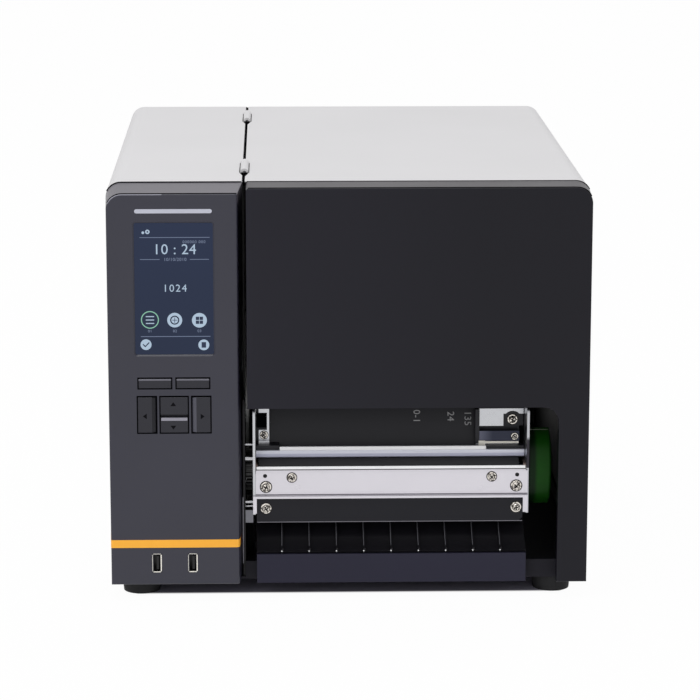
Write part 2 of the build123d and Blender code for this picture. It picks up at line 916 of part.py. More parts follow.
# The rocker lies with its lower half pressed in and swings to the other side.
def make_power_rocker():
    x = inlet_from_left - half_width
    face = rear_y + inlet_flange
    pivot_y = face - rocker_depth
    rocker_z = bottom_z + inlet_up + rocker_rise
    half = rocker_width / 2
    tall = rocker_height / 2
    outline = [
        (pivot_y, rocker_z - tall / 2),
        (face - rocker_proud, rocker_z - tall),
        (face, rocker_z),
        (face - rocker_proud, rocker_z + tall),
        (pivot_y, rocker_z + tall / 2),
        (pivot_y - rocker_pin_radius * 2, rocker_z),
    ]
    rocker = push_x(rounded(outline, [(outline[5], rocker_pin_radius)]), (x - half, x + half))
    through = (x - rocker_width, x + rocker_width)
    rocker -= rod(rocker_pin_radius + shaft_clearance, through, pivot_y, rocker_z)
    return Pos(0, pivot_y, rocker_z) * Rot(rocker_tilt, 0, 0) * Pos(0, -pivot_y, -rocker_z) * rocker


def make_data_sockets():
    face = rear_y + socket_proud
    back = rear_y - socket_depth
    z = bottom_z + network_up

    def shell(x, centre_z, width, height):
        return block(
            (x - width / 2, x + width / 2), (back, face), (centre_z - height / 2, centre_z + height / 2)
        )

    def mouth(x, centre_z, width, height, depth):
        return block(
            (x - width / 2, x + width / 2),
            (face - depth, face + cut_overrun),
            (centre_z - height / 2, centre_z + height / 2),
        )

    x = network_from_left - half_width
    network = shell(x, z, network_width, network_height)
    network -= mouth(x, z, network_mouth_width, network_mouth_height, network_mouth_depth)
    x = device_from_left - half_width
    device = shell(x, z, device_width, device_height)
    device -= mouth(x, z, device_mouth, device_mouth, device_mouth_depth)
    device += block(
        (x - device_core_width / 2, x + device_core_width / 2),
        (back, face - usb_tongue_setback),
        (z - device_core_height / 2, z + device_core_height / 2),
    )
    x = serial_from_left - half_width
    z = bottom_z + serial_up
    serial = shell(x, z, serial_width, serial_height)
    rim = panel_hole(
        x, z, serial_shell_width, serial_shell_height, serial_shell_height / 4,
        (face - serial_shell_wall, face + serial_shell_depth - rear_setback),
    )
    rim -= panel_hole(
        x, z, serial_shell_width - 2 * serial_shell_wall, serial_shell_height - 2 * serial_shell_wall,
        serial_shell_height / 4 - serial_shell_wall / 2, (face, face + serial_shell_depth),
    )
    serial += rim
    pins_y = (face - serial_shell_wall, face + serial_shell_depth / 3)
    low_count = serial_pin_count // 2
    for row, count in ((1, serial_pin_count - low_count), (-1, low_count)):
        for number in range(count):
            pin_x = x + (number - (count - 1) / 2) * serial_pin_pitch
            pin_z = z + row * serial_row_pitch / 2
            serial += block(
                (pin_x - serial_pin_half, pin_x + serial_pin_half),
                pins_y,
                (pin_z - serial_pin_half, pin_z + serial_pin_half),
            )
    for screw_x in (x - serial_screw_pitch / 2, x + serial_screw_pitch / 2):
        serial += rod_y(serial_screw_radius, (face, face + rear_setback / 2), screw_x, z)
    return Compound(children=[network, device, serial])


# The media cover's front moulding, cut out at the lower left round the print mechanism.
def door_section(y, inset):
    share = (seam_y - y) / front_shell_depth
    left = door_left + inset
    right = half_width - door_side_taper * share - inset
    low = bottom_z + inset
    top = top_z - inset
    face = rounded(
        [(left, low), (right, low), (right, top), (left, top)],
        [((right, top), door_corner_radius - inset)],
    )
    return front_plane(y) * face


def notch_face(grow):
    right = notch_right + grow
    top = notch_top + grow
    left = door_left - cut_overrun
    low = bottom_z - cut_overrun
    corner = (right, top)
    return rounded([(left, low), (right, low), corner, (left, top)], [(corner, notch_radius + grow)])


def make_door_front():
    body = loft([door_section(seam_y, 0), door_section(front_y, 0)])
    face = body.faces().sort_by(Axis.Y)[0]
    rim = [edge for edge in face.edges() if edge.center().X > door_left + cut_overrun]
    body = fillet(rim, door_edge_radius)
    corner = Pos(door_left, top_z) * Rot(0, 0, 45) * Rectangle(door_corner_cut, door_corner_cut)
    body -= push_y(corner, (front_y - cut_overrun, seam_y + cut_overrun))
    inside = loft([
        door_section(seam_y + cut_overrun, moulding_wall),
        door_section(fascia_back, moulding_wall),
    ])
    lip_end = front_y + door_lip_depth
    shell = body - inside
    shell -= block(
        (notch_right - cut_overrun, half_width - moulding_wall - door_side_taper),
        (lip_end, seam_y + cut_overrun),
        (bottom_z - cut_overrun, bottom_z + moulding_wall + cut_overrun),
    )
    whole = (front_y - cut_overrun, seam_y + cut_overrun)
    lip = push_y(notch_face(moulding_wall), (front_y, lip_end)) & body
    return (shell + lip) - push_y(notch_face(0), whole)


def make_door_cover():
    radius = door_corner_radius
    cover = cover_band(1, door_edge, radius, 0, cover_sheet, (cover_front_y, back_y))
    cover += cover_tongue(1, door_left + moulding_wall + tongue_gap, radius, door_side_taper)
    flange_y = (back_y - cover_sheet, back_y)
    cover += cover_band(1, door_edge + door_rear_flange, radius, cover_sheet, door_rear_flange, flange_y)
    for pocket in hinge_pockets():
        cover -= pocket
    opening = RectangleRounded(window_back - window_front, window_high_up - window_low_up, window_corner)
    middle = ((window_front + window_back) / 2, bottom_z + (window_low_up + window_high_up) / 2)
    return cover - push_x(Pos(*middle) * opening, (half_width - cut_overrun, half_width + cut_overrun))


def make_door_window():
    width = window_back - window_front + 2 * window_border
    height = window_high_up - window_low_up + 2 * window_border
    middle = ((window_front + window_back) / 2, bottom_z + (window_low_up + window_high_up) / 2)
    inner = half_width - cover_sheet
    pane = Pos(*middle) * RectangleRounded(width, height, window_corner)
    return push_x(pane, (inner - window_sheet, inner))


# Three knuckles a hinge: the outer two stand still, the middle one turns with the cover.
def hinge_spans(start):
    moving = hinge_length * hinge_moving_share
    still = (hinge_length - moving) / 2
    middle = (start + still + hinge_knuckle_gap, start + still + moving - hinge_knuckle_gap)
    return [(start, start + still), middle, (start + still + moving, start + hinge_length)]


def hinge_leaf(start, side, spans, bore):
    near = hinge_x + side * (hinge_radius + hinge_notch_gap)
    far = near + side * hinge_leaf_width
    leaf = block(tuple(sorted((near, far))), (start, start + hinge_length), (leaf_low, sheet_inner_top))
    for span in spans:
        leaf += block(tuple(sorted((near, hinge_x))), span, (leaf_low, sheet_inner_top))
        leaf += rod_y(hinge_radius, span, hinge_x, top_z)
    return leaf - rod_y(bore, (start - cut_overrun, start + hinge_length + cut_overrun), hinge_x, top_z)


def make_hinge_leaves():
    leaves = []
    for start in hinge_starts:
        spans = hinge_spans(start)
        leaves.append(hinge_leaf(start, -1, [spans[0], spans[2]], hinge_pin_radius))
    return Compound(children=leaves)


def make_door_hinge_arms():
    leaves = []
    for start in hinge_starts:
        leaves.append(hinge_leaf(start, 1, [hinge_spans(start)[1]], hinge_pin_radius + shaft_clearance))
    return Compound(children=leaves)


def make_hinge_pins():
    pins = [rod_y(hinge_pin_radius, (start, start + hinge_length), hinge_x, top_z) for start in hinge_starts]
    return Compound(children=pins)


# Print mechanism
def side_plate_face():
    front = mech_front - front_plate_sheet / 2
    back = mech_front + plate_depth
    leg = back - plate_leg_depth
    points = [
        (front, bottom_z + plate_low_up),
        (front, bottom_z + plate_top_up),
        (back - plate_leg_depth / 2, bottom_z + plate_back_up),
        (back, bottom_z + plate_back_up - plate_flange_width),
        (back, pan_floor),
        (leg, pan_floor),
        (leg - plate_flange_width, bottom_z + plate_leg_front_up),
    ]
    return rounded(points, [(points[2], plate_flange_width), (points[1], plate_flange_width / 3)])


def make_side_plate(side):
    outer = left_plate_out if side < 0 else right_plate_out
    inner = mech_left if side < 0 else mech_right
    x = tuple(sorted((outer, inner)))
    plate = push_x(side_plate_face(), x)
    low = bottom_z + plate_flange_low_up
    high = bottom_z + plate_flange_high_up
    behind = mech_front + front_plate_sheet
    if side > 0:
        room = (mech_front - cut_overrun, behind)
        high_end = bottom_z + front_plate_high_up + tear_sheet + tear_rise
        plate -= block((inner - cut_overrun, outer + cut_overrun), room, (bottom_z, high_end))
    flange_x = tuple(sorted((outer, inner - side * plate_flange_width)))
    plate += block(flange_x, (behind, behind + side_plate), (low, high))
    through = (x[0] - cut_overrun, x[1] + cut_overrun)
    plate -= rod(bush_radius, through, platen_y, platen_z)
    plate -= rod(head_pivot_radius, through, *head_pivot())
    plate -= rod(tension_pivot_radius, through, *tension_pivot())
    if side < 0:
        plate -= rod(idler_stud_radius, through, *idler_place())
    return plate


def make_platen_bushes():
    bushes = []
    for side, inner, outer in ((-1, mech_left, left_plate_out), (1, mech_right, right_plate_out)):
        sleeve = tuple(sorted((inner - side * bush_flange, outer + side * bush_flange)))
        bush = rod(bush_radius, sleeve, platen_y, platen_z)
        rim = tuple(sorted((inner - side * bush_depth, inner)))
        bush += rod(bush_flange_radius, rim, platen_y, platen_z)
        through = (sleeve[0] - cut_overrun, sleeve[1] + cut_overrun)
        bushes.append(bush - rod(platen_shaft_radius + shaft_clearance, through, platen_y, platen_z))
    return Compound(children=bushes)


def platen_span():
    return (mech_left + bush_depth + platen_left_gap, mech_right - platen_right_gap)


def make_platen_roller():
    return ring(platen_radius, platen_core_radius, platen_span(), platen_y, platen_z)


def make_platen_shaft():
    left = wall_right + gear_side_gap
    shaft = rod(platen_shaft_radius, (left, right_plate_out + bush_flange), platen_y, platen_z)
    return shaft + rod(platen_core_radius, platen_span(), platen_y, platen_z)


# Straight-flanked spur gear; phase turns it so that its teeth mesh.
def spur_gear(teeth, bore, phase, place):
    pitch_radius = gear_module * teeth / 2
    tip = pitch_radius + gear_module * tooth_top_share
    root = pitch_radius - gear_module * tooth_root_share
    tooth = 2 * 180 / teeth
    tip_half = tooth * tooth_tip_width_share / 2
    root_half = tooth * tooth_root_width_share / 2 - tooth_play * 90 / (pitch_radius * pi)
    points = []
    for number in range(teeth):
        middle = number * tooth + phase
        for radius, offset in ((root, -root_half), (tip, -tip_half), (tip, tip_half), (root, root_half)):
            angle = radians(middle + offset)
            points.append((place[0] + radius * cos(angle), place[1] + radius * sin(angle)))
    left = wall_right + gear_side_gap
    gear = push_x(rounded(points, []), (left, left + gear_width))
    return gear - rod(bore, (left - cut_overrun, left + gear_width + cut_overrun), *place)


def idler_place():
    reach = gear_module * (platen_teeth + idler_teeth) / 2
    angle = radians(idler_angle)
    return (platen_y + reach * cos(angle), platen_z + reach * sin(angle))


def pinion_place():
    reach = gear_module * (idler_teeth + pinion_teeth) / 2
    angle = radians(pinion_angle)
    y, z = idler_place()
    return (y + reach * cos(angle), z + reach * sin(angle))


# A tooth of the platen gear points at the idler, so the idler has a gap there, and so on.
def make_platen_gear():
    return spur_gear(platen_teeth, platen_shaft_radius, idler_angle, (platen_y, platen_z))


def idler_phase():
    return idler_angle + 180 + 180 / idler_teeth


def make_idler_gear():
    return spur_gear(idler_teeth, idler_stud_radius + shaft_clearance, idler_phase(), idler_place())


def make_motor_pinion():
    turn = (pinion_angle - idler_phase()) / (360 / idler_teeth)
    offset = turn - int(turn)
    phase = pinion_angle + 180 + 180 / pinion_teeth + offset * 360 / pinion_teeth
    place = pinion_place()
    gear = spur_gear(pinion_teeth, motor_shaft_radius, phase, place)
    left = wall_left - motor_shaft_tail
    return gear + rod(motor_shaft_radius, (left, wall_right + gear_side_gap + gear_width), *place)


def make_drive_motor():
    y, z = pinion_place()
    half = motor_size / 2
    x = (wall_left - motor_length, wall_left)
    body = block(x, (y - half, y + half), (z - half, z + half))
    body = chamfer(body.edges().filter_by(Axis.X), motor_corner)
    middle = (x[0] + motor_length * motor_end_share, x[1] - motor_length * motor_end_share)
    groove = block(middle, (y - body_depth, y + body_depth), (z - body_depth, z + body_depth))
    groove -= rod(half * motor_waist_share, middle, y, z)
    body -= groove & body
    bore = (wall_left - motor_shaft_tail - slide_gap, wall_left + cut_overrun)
    return body - rod(motor_shaft_radius + shaft_clearance, bore, y, z)


# Studs, spacers and stays turned from rod, all fixed to the wall or a side plate.
def make_mechanism_studs():
    gap = (wall_right, left_plate_out)
    y = mech_front + spacer_behind
    reach = tension_arm_inset + tension_arm_sheet + slide_gap
    studs = [
        rod(idler_stud_radius, (wall_right, mech_left), *idler_place()),
        rod(spacer_radius, gap, y, bottom_z + spacer_up),
        rod(spacer_small_radius, gap, y, bottom_z + spacer_small_up),
        rod(stay_radius, gap, y, bottom_z + stay_up),
        rod(stay_large_radius, gap, mech_front + spacer_behind / 2, bottom_z + stay_large_up),
        block(
            gap,
            (y - spacer_block_depth / 2, y + spacer_block_depth / 2),
            (bottom_z + spacer_block_up, bottom_z + spacer_block_up + spacer_block_height),
        ),
        rod(lever_stud_radius, (right_plate_out, right_plate_out + lever_gap + lever_width), *lever_place()),
        rod(tension_pivot_radius, (left_plate_out, mech_left + reach), *tension_pivot()),
        rod(tension_pivot_radius, (mech_right - reach, right_plate_out), *tension_pivot()),
    ]
    return Compound(children=studs)


# Bright plate in front of the side plates, with its lip bent forward and an ear down at each end.
def make_front_plate():
    x = (mech_left + slide_gap, mech_right + front_plate_overlap)
    y = (mech_front, mech_front + front_plate_sheet)
    low = bottom_z + front_plate_low_up
    high = bottom_z + front_plate_high_up
    plate = block(x, y, (low + front_lip_height, high))
    lip_y = (mech_front - front_lip_depth, y[1])
    lip_z = (low, low + front_lip_height)
    ends = (left_plate_out, mech_right + front_plate_overlap)
    plate += block(ends, (lip_y[0], mech_front - front_plate_sheet / 2), lip_z) + block(x, lip_y, lip_z)
    ear_y = (lip_y[0], mech_front - front_plate_sheet / 2)
    ear_z = (low - front_ear_drop + front_lip_height, low + front_lip_height)
    plate += block((ends[0], ends[0] + front_ear_left), ear_y, ear_z)
    plate += block((ends[1] - front_ear_right, ends[1]), ear_y, ear_z)
    through = (y[0] - cut_overrun, y[1] + cut_overrun)
    for hole_x in (x[0] + plate_hole_from_end, x[1] - plate_hole_from_end - front_plate_overlap):
        plate -= rod_y(plate_hole_radius, through, hole_x, high - plate_hole_drop)
    return plate


def make_tear_bar():
    nose = mech_front - tear_nose
    back = nose + tear_depth
    low = bottom_z + front_plate_high_up
    high = low + tear_sheet
    points = [(nose, low), (back, low + tear_rise), (back, high + tear_rise), (nose, high)]
    flat = [(mech_front, low), (mech_front + front_plate_sheet, low)]
    seat = low + tear_rise * (tear_nose + front_plate_sheet) / tear_depth
    foot = rounded([flat[0], flat[1], (flat[1][0], seat), (flat[0][0], seat)], [])
    x = (mech_left + head_side_gap, mech_right - head_side_gap)
    return push_x(rounded(points, []), x) + push_x(foot, x)


def make_lower_plate():
    x = (mech_left + front_plate_overlap, mech_right - front_ear_right + front_plate_overlap)
    top = bottom_z + front_plate_low_up
    low = bottom_z + lower_plate_low_up
    face = make_face(Polyline((x[0], low), (x[1], low), (x[1], top), (x[0], top), close=True))
    face = chamfer(face.vertices().sort_by_distance((x[1], low, 0))[0], lower_plate_corner)
    return push_y(face, (mech_front, mech_front + front_plate_sheet))


def pan_screw(radius, height, x, y, z):
    head = rod_y(radius, (y - height, y), x, z)
    return chamfer(head.edges().sort_by(Axis.Y)[0], height * screw_edge_share, radius * screw_crown_share)


def make_plate_screws():
    left = mech_left + slide_gap
    right = mech_right + front_plate_overlap
    top = bottom_z + front_plate_high_up
    low = bottom_z + front_plate_low_up
    screws = []
    for x in (left + mount_screw_from_end, right - mount_screw_from_end - front_plate_overlap):
        for z in (top - front_screw_drop, low - lower_screw_drop):
            screws.append(pan_screw(mount_screw_radius, mount_screw_height, x, mech_front, z))
    z = top - clamp_screw_drop
    for x in (left + clamp_screw_from_end, right - clamp_screw_from_end):
        screws.append(pan_screw(clamp_screw_radius, clamp_screw_height, x, mech_front, z))
    return Compound(children=screws)


# Print head: a finned bar over the roller, carried by a folded frame that swings at the back.
def head_pivot():
    return (mech_front + head_pivot_behind, bottom_z + head_pivot_up)


def sink_low():
    return platen_z + platen_radius + head_gap


def head_span():
    return (mech_left + head_side_gap, mech_right - head_side_gap)


def make_print_head():
    y = (mech_front + sink_behind, mech_front + sink_behind + sink_depth)
    z = (sink_low(), sink_low() + sink_height)
    bar = block(head_span(), y, z)
    bar = chamfer(bar.edges().filter_by(Axis.X).sort_by(Axis.Z)[:1], sink_height / 8)
    land = (y[1] - sink_land * 2, y[1] - sink_land)
    return bar - block(head_span(), land, (z[0] - cut_overrun, z[0] + sink_height / 4))


def make_head_frame():
    left, right = head_span()
    sink_top = sink_low() + sink_height
    pivot_y, pivot_z = head_pivot()
    foot_y = mech_front + hood_foot_behind
    front = mech_front + sink_behind
    arm_points = [
        (foot_y, sink_top),
        (foot_y + sink_depth, sink_top),
        (pivot_y, pivot_z - head_boss_radius),
        (pivot_y + head_boss_radius, pivot_z),
        (pivot_y, pivot_z + head_boss_radius),
        (mech_front + hood_top_behind, bottom_z + hood_top_up),
        (mech_front + hood_mid_behind, bottom_z + hood_mid_up),
    ]
    arm = rounded(arm_points, [(arm_points[3], head_boss_radius / 2)])
    frame = push_x(arm, (left, left + head_arm)) + push_x(arm, (right - head_arm, right))
    mid = (mech_front + hood_mid_behind, bottom_z + hood_mid_up)
    top = (mech_front + hood_top_behind, bottom_z + hood_top_up)
    hood_points = [
        (foot_y, sink_top),
        (foot_y + hood_sheet, sink_top),
        (mid[0] + hood_sheet, mid[1] - hood_sheet / 2),
        (top[0] + hood_sheet / 2, top[1] - hood_sheet),
        (pivot_y, pivot_z + head_boss_radius - hood_sheet),
        (pivot_y, pivot_z + head_boss_radius),
        top,
        mid,
    ]
    hood_x = (left + hood_left_inset, right - hood_right_inset)
    frame += push_x(rounded(hood_points, []), hood_x)
    roof = [top, (top[0] + hood_sheet / 2, top[1] - hood_sheet), hood_points[4], hood_points[5]]
    frame += push_x(rounded(roof, []), (left, right))
    wing = [mid, (mid[0] + hood_sheet, mid[1] - hood_sheet / 2), roof[1], top]
    frame += push_x(rounded(wing, []), (left, right))
    block_y = (front + sink_land, foot_y + hood_sheet)
    frame += block((left, left + end_block_left), block_y, (sink_top, sink_top + end_block_height))
    frame += block((right - end_block_right, right), block_y, (sink_top, bottom_z + right_rail_low_up))
    back = mech_front + bracket_face_behind + bracket_sheet
    for panel_x in ((left, left + hood_left_inset), (right - hood_right_inset - hood_sheet, right)):
        frame += block(panel_x, (back, back + hood_sheet), (sink_top, mid[1]))
        frame += block(panel_x, (back, mid[0] + hood_sheet), (mid[1] - hood_sheet, mid[1]))
    through = (left - cut_overrun, right + cut_overrun)
    return frame - rod(head_pivot_radius + shaft_clearance, through, pivot_y, pivot_z)


def make_head_pivot_shaft():
    return rod(head_pivot_radius, (left_plate_out, right_plate_out), *head_pivot())


# Bright clamp plates at the two ends of the head.
def make_head_brackets():
    left, right = head_span()
    face = mech_front + bracket_face_behind
    back = face + bracket_sheet
    block_top = sink_low() + sink_height + end_block_height
    x = (left + left_bracket_from_end, left + left_bracket_from_end + left_bracket_width)
    high = bottom_z + left_bracket_high_up
    pad = bottom_z + left_bracket_pad_up
    clamp = block(x, (face, back), (block_top, high))
    through = (face - cut_overrun, back + cut_overrun)
    clamp -= block((x[0] - cut_overrun, x[1] - left_bracket_rim), through, (pad, high - left_bracket_strip))
    clamp += block(x, (face - left_bracket_lip_depth, back), (block_top, block_top + left_bracket_lip))
    start = right - hood_right_inset - hood_sheet
    low = bottom_z + right_bracket_low_up
    high = bottom_z + right_bracket_high_up
    relief = (right - right_bracket_relief_x, (low + high) / 2 - right_bracket_strip / 2)
    plate = block((start, right), (face, back), (low, high))
    edge = relief[0] - right_bracket_relief_radius
    plate -= block((edge, right + cut_overrun), through, (low - cut_overrun, high - right_bracket_strip))
    plate -= rod_y(right_bracket_relief_radius, through, *relief)
    rail_x = (start, right - right_rail_right)
    ledge = (bottom_z + right_rail_low_up, bottom_z + right_rail_ledge_up)
    rail = block(rail_x, (face - right_rail_depth, back), ledge)
    step = (rail_x[0], rail_x[0] + right_rail_depth)
    step_y = (face - right_rail_depth, back - bracket_sheet / 2)
    rail += block(step, step_y, (sink_low() + sink_height, ledge[1]))
    return Compound(children=[clamp, plate, rail])


def make_head_screws():
    left, right = head_span()
    face = mech_front + bracket_face_behind
    back = face + bracket_sheet
    pad = bottom_z + left_bracket_pad_up
    middle = left + left_bracket_from_end + left_bracket_width / 2
    block_top = sink_low() + sink_height + end_block_height
    low_screw = (block_top + left_bracket_lip + pad) / 2
    high = bottom_z + right_bracket_high_up
    low = bottom_z + right_bracket_low_up
    big_z = (low + high) / 2 - right_bracket_strip / 2
    rail_z = (bottom_z + right_rail_ledge_up + bottom_z + right_rail_high_up) / 2
    post = rod_y(head_post_radius, (face, back), right - right_bracket_relief_x, big_z)
    return Compound(children=[
        pan_screw(head_small_screw_radius, head_screw_height, middle, face, low_screw),
        pan_screw(head_screw_radius, head_screw_height, right - right_bracket_relief_x, face, big_z) + post,
        pan_screw(head_small_screw_radius, head_screw_height, right - right_bracket_relief_x, back, rail_z),
    ])


def lever_place():
    return (mech_front + lever_behind, bottom_z + lever_up)


# A hollow thumb sector on a hub, moulded in one piece.
def make_release_lever():
    y, z = lever_place()
    x = (right_plate_out + lever_gap, right_plate_out + lever_gap + lever_width)

    def sector(radius, half_angle):
        arc = [
            (y + radius * cos(radians(180 + turn)), z + radius * sin(radians(180 + turn)))
            for turn in (-half_angle, 0, half_angle)
        ]
        return make_face([Line((y, z), arc[0]), ThreePointArc(*arc), Line(arc[2], (y, z))])

    lever = push_x(sector(lever_radius, lever_half_angle), x)
    outer = lever.edges().filter_by(GeomType.CIRCLE).sort_by(Axis.X)[-1]
    lever = fillet(outer, lever_edge_radius)
    room = sector(lever_radius - lever_wall, lever_half_angle - lever_wall_angle)
    lever -= push_x(room, (x[0] - cut_overrun, x[1] - lever_wall))
    lever += rod(lever_hub_radius, x, y, z)
    return lever - rod(lever_stud_radius + shaft_clearance, (x[0] - cut_overrun, x[1] + cut_overrun), y, z)


# Lower front cover and the ribbed slope that the labels slide out over.
def exit_span():
    return (mech_left + exit_inset, mech_right - exit_inset)


def make_lower_front_cover():
    x = exit_span()
    y = front_y + cover_low_setback
    z = (bottom_z, bottom_z + cover_low_top_up)
    cover = block(x, (y, pan_front), z)
    cover = fillet(cover.edges().filter_by(Axis.X).group_by(Axis.Y)[0].sort_by(Axis.Z)[-1], cover_low_edge)
    inner = (x[0] + cover_low_wall, x[1] - cover_low_wall)
    room = (y + cover_low_wall, pan_front + cut_overrun)
    return cover - block(inner, room, (z[0] - cut_overrun, z[1] - cover_low_wall))


def exit_curve(offset):
    points = []
    for behind, up in (
        (exit_start_behind, exit_start_up),
        (exit_mid_behind, exit_mid_up),
        (exit_end_behind, exit_end_up),
    ):
        points.append((mech_front + behind - offset / 2, bottom_z + up + offset))
    return points


def exit_band(low, high):
    under = exit_curve(low)
    over = exit_curve(high)
    return make_face([
        ThreePointArc(*under),
        Line(under[2], over[2]),
        ThreePointArc(*over),
        Line(over[0], under[0]),
    ])


def make_exit_chute():
    left, right = exit_span()
    chute = push_x(exit_band(0, exit_sheet), (left, right))
    pitch = (right - exit_rib_last - left - exit_rib_first) / (exit_ribs - 1)
    for number in range(exit_ribs):
        x = left + exit_rib_first + number * pitch
        half = exit_rib_width / 2
        chute += push_x(exit_band(exit_sheet / 2, exit_sheet + exit_rib_height), (x - half, x + half))
    start = mech_front + cheek_behind
    end = mech_front + exit_end_behind
    cheek = rounded([
        (start, pan_floor),
        (end, pan_floor),
        (end, bottom_z + exit_end_up),
        (end - exit_sheet, bottom_z + exit_end_up),
        (mech_front + exit_mid_behind, bottom_z + exit_mid_up + exit_sheet / 2),
        (start, bottom_z + exit_mid_up - exit_sheet * 2),
    ], [])
    chute += push_x(cheek, (left, left + cheek_sheet)) + push_x(cheek, (right - cheek_sheet, right))
    return chute


def make_feed_table():
    front = mech_front + table_front_behind
    back = front + table_depth
    top = bottom_z + table_up
    profile = [
        (front, top),
        (back, top),
        (back, top - table_lip),
        (back - table_sheet, top - table_lip),
        (back - table_sheet, top - table_sheet),
        (front, top - table_sheet),
    ]
    return push_x(rounded(profile, []), (mech_left, mech_right))


def hanger_place():
    return (back_y - hanger_from_back, bottom_z + hanger_up)


def make_media_hanger():
    y, z = hanger_place()
    bar = ring(hanger_radius, hanger_bore_radius, (wall_right, hanger_end), y, z)
    plate = (wall_right, wall_right + hanger_flange)
    return bar + ring(hanger_flange_radius, hanger_bore_radius, plate, y, z)


def make_roll_guard():
    y, z = hanger_place()
    end = hanger_end - guard_from_tip
    guard = rod(guard_radius, (end - guard_sheet, end), y, z)
    guard += rod(guard_hub_radius, (end - guard_hub_width, end), y, z)
    through = (end - guard_hub_width - cut_overrun, end + cut_overrun)
    for number in range(guard_windows):
        turn = radians(90 + 360 / guard_windows * number)
        window = (y + guard_window_circle * cos(turn), z + guard_window_circle * sin(turn))
        guard -= rod(guard_window_radius, through, *window)
    return guard - rod(hanger_radius + shaft_clearance, through, y, z)


def spindle_places():
    supply = (front_y + supply_from_front, bottom_z + supply_up)
    return [supply, (front_y + rewind_from_front, bottom_z + rewind_up)]


def make_spindle_bearings():
    bore = spindle_shaft_radius + shaft_clearance
    x = (wall_right, wall_right + bearing_depth)
    return Compound(children=[ring(bearing_radius, bore, x, y, z) for y, z in spindle_places()])


# Ribbon spindle: a plain barrel for the core, with a flange next to its bearing.
def make_ribbon_spindle(place):
    y, z = place
    start = wall_right + bearing_depth + slide_gap
    end = half_width - spindle_from_right
    spindle = rod(spindle_radius, (start, end), y, z)
    spindle = chamfer(spindle.edges().sort_by(Axis.X)[-1], spindle_tip_bevel)
    spindle += rod(spindle_flange_radius, (start, start + spindle_flange), y, z)
    return spindle + rod(spindle_shaft_radius, (wall_left - spindle_shaft_tail, start + spindle_flange), y, z)


# Label edge guide: an upright with a foot that slides on the feed table.
def make_media_guide():
    right = mech_right - edge_guide_from_right
    left = right - edge_guide_width
    floor = bottom_z + table_up + edge_guide_gap
    y = (mech_front + edge_guide_behind, mech_front + edge_guide_behind + edge_guide_depth)
    upright = block((left, left + edge_guide_sheet), y, (floor, floor + edge_guide_high))
    upright = fillet(upright.edges().filter_by(Axis.X).group_by(Axis.Z)[-1], edge_guide_high / 3)
    foot = block((left, left + edge_guide_foot), y, (floor, floor + edge_guide_sheet))
    knob_x = left + edge_guide_foot - guide_knob_radius
    knob = rod_z(guide_knob_radius, (floor, floor + guide_knob_height), knob_x, sum(y) / 2)
    return upright + foot + knob


def tension_pivot():
    return (mech_front + tension_pivot_behind, bottom_z + tension_pivot_up)


# Sprung bar that keeps the label web taut, hung between the side plates.
def make_tension_arm():
    y, z = tension_pivot()
    bar_y = mech_front + tension_bar_behind
    bar_z = bottom_z + tension_bar_up
    left = mech_left + tension_arm_inset
    right = mech_right - tension_arm_inset
    reach = Vector(bar_y - y, bar_z - z)
    side = Vector(-reach.Y, reach.X).normalized() * tension_arm_width / 2
    arm_face = rounded([
        (y + side.X, z + side.Y),
        (y - side.X, z - side.Y),
        (bar_y - side.X, bar_z - side.Y),
        (bar_y + side.X, bar_z + side.Y),
    ], [])
    arm = rod(tension_bar_radius, (left, right), bar_y, bar_z)
    for x in ((left, left + tension_arm_sheet), (right - tension_arm_sheet, right)):
        arm += push_x(arm_face, x) + rod(tension_boss_radius, x, y, z)
        arm += rod(tension_hook_radius, x, bar_y, bar_z)
    return arm - rod(tension_pivot_radius + shaft_clearance, (left - cut_overrun, right + cut_overrun), y, z)


# Main board on posts beside the centre wall, with its larger components.
def make_main_board():
    x = (wall_left - board_main_gap - board_sheet, wall_left - board_main_gap)
    y = (back_y - board_main_from_back - board_main_length, back_y - board_main_from_back)
    z = (bottom_z + board_main_low_up, bottom_z + board_main_high_up)
    board = block(x, y, z)
    for post_y in (y[0] + board_post_inset, y[1] - board_post_inset):
        for post_z in (z[0] + board_post_inset, z[1] - board_post_inset):
            board += rod(board_post_radius, (x[0] + board_sheet / 2, wall_left), post_y, post_z)
    face = (x[0] - chip_height, x[0] + board_sheet / 2)
    for share_y, share_z, share in chip_shares:
        middle_y = y[0] + (y[1] - y[0]) * share_y
        middle_z = z[0] + (z[1] - z[0]) * share_z
        half = heat_block * share / 2
        board += block(face, (middle_y - half, middle_y + half), (middle_z - half, middle_z + half))
    sink_y = (y[1] - heat_block * 2, y[1] - heat_block)
    sink_z = (z[1] - heat_block * 2, z[1] - heat_block / 2)
    return board + block((x[0] - heat_block_height, face[1]), sink_y, sink_z)


def make_power_supply():
    left = -half_width + supply_box_left
    y = (front_y + supply_box_from_front, back_y - supply_box_from_back)
    height = (pan_floor, pan_floor + supply_box_height)
    box = block((left, left + supply_box_width), y, height)
    box = chamfer(box.edges().filter_by(Axis.Y).group_by(Axis.Z)[-1], supply_box_corner)
    top = (pan_floor + supply_box_height - supply_box_corner, pan_floor + supply_box_height + cut_overrun)
    pitch = (y[1] - y[0]) / (supply_slots + 1)
    x = (left + supply_slot_inset, left + supply_box_width - supply_slot_inset)
    for number in range(supply_slots):
        slot_y = y[0] + pitch * (number + 1)
        box -= block(x, (slot_y - supply_slot_width / 2, slot_y + supply_slot_width / 2), top)
    return box


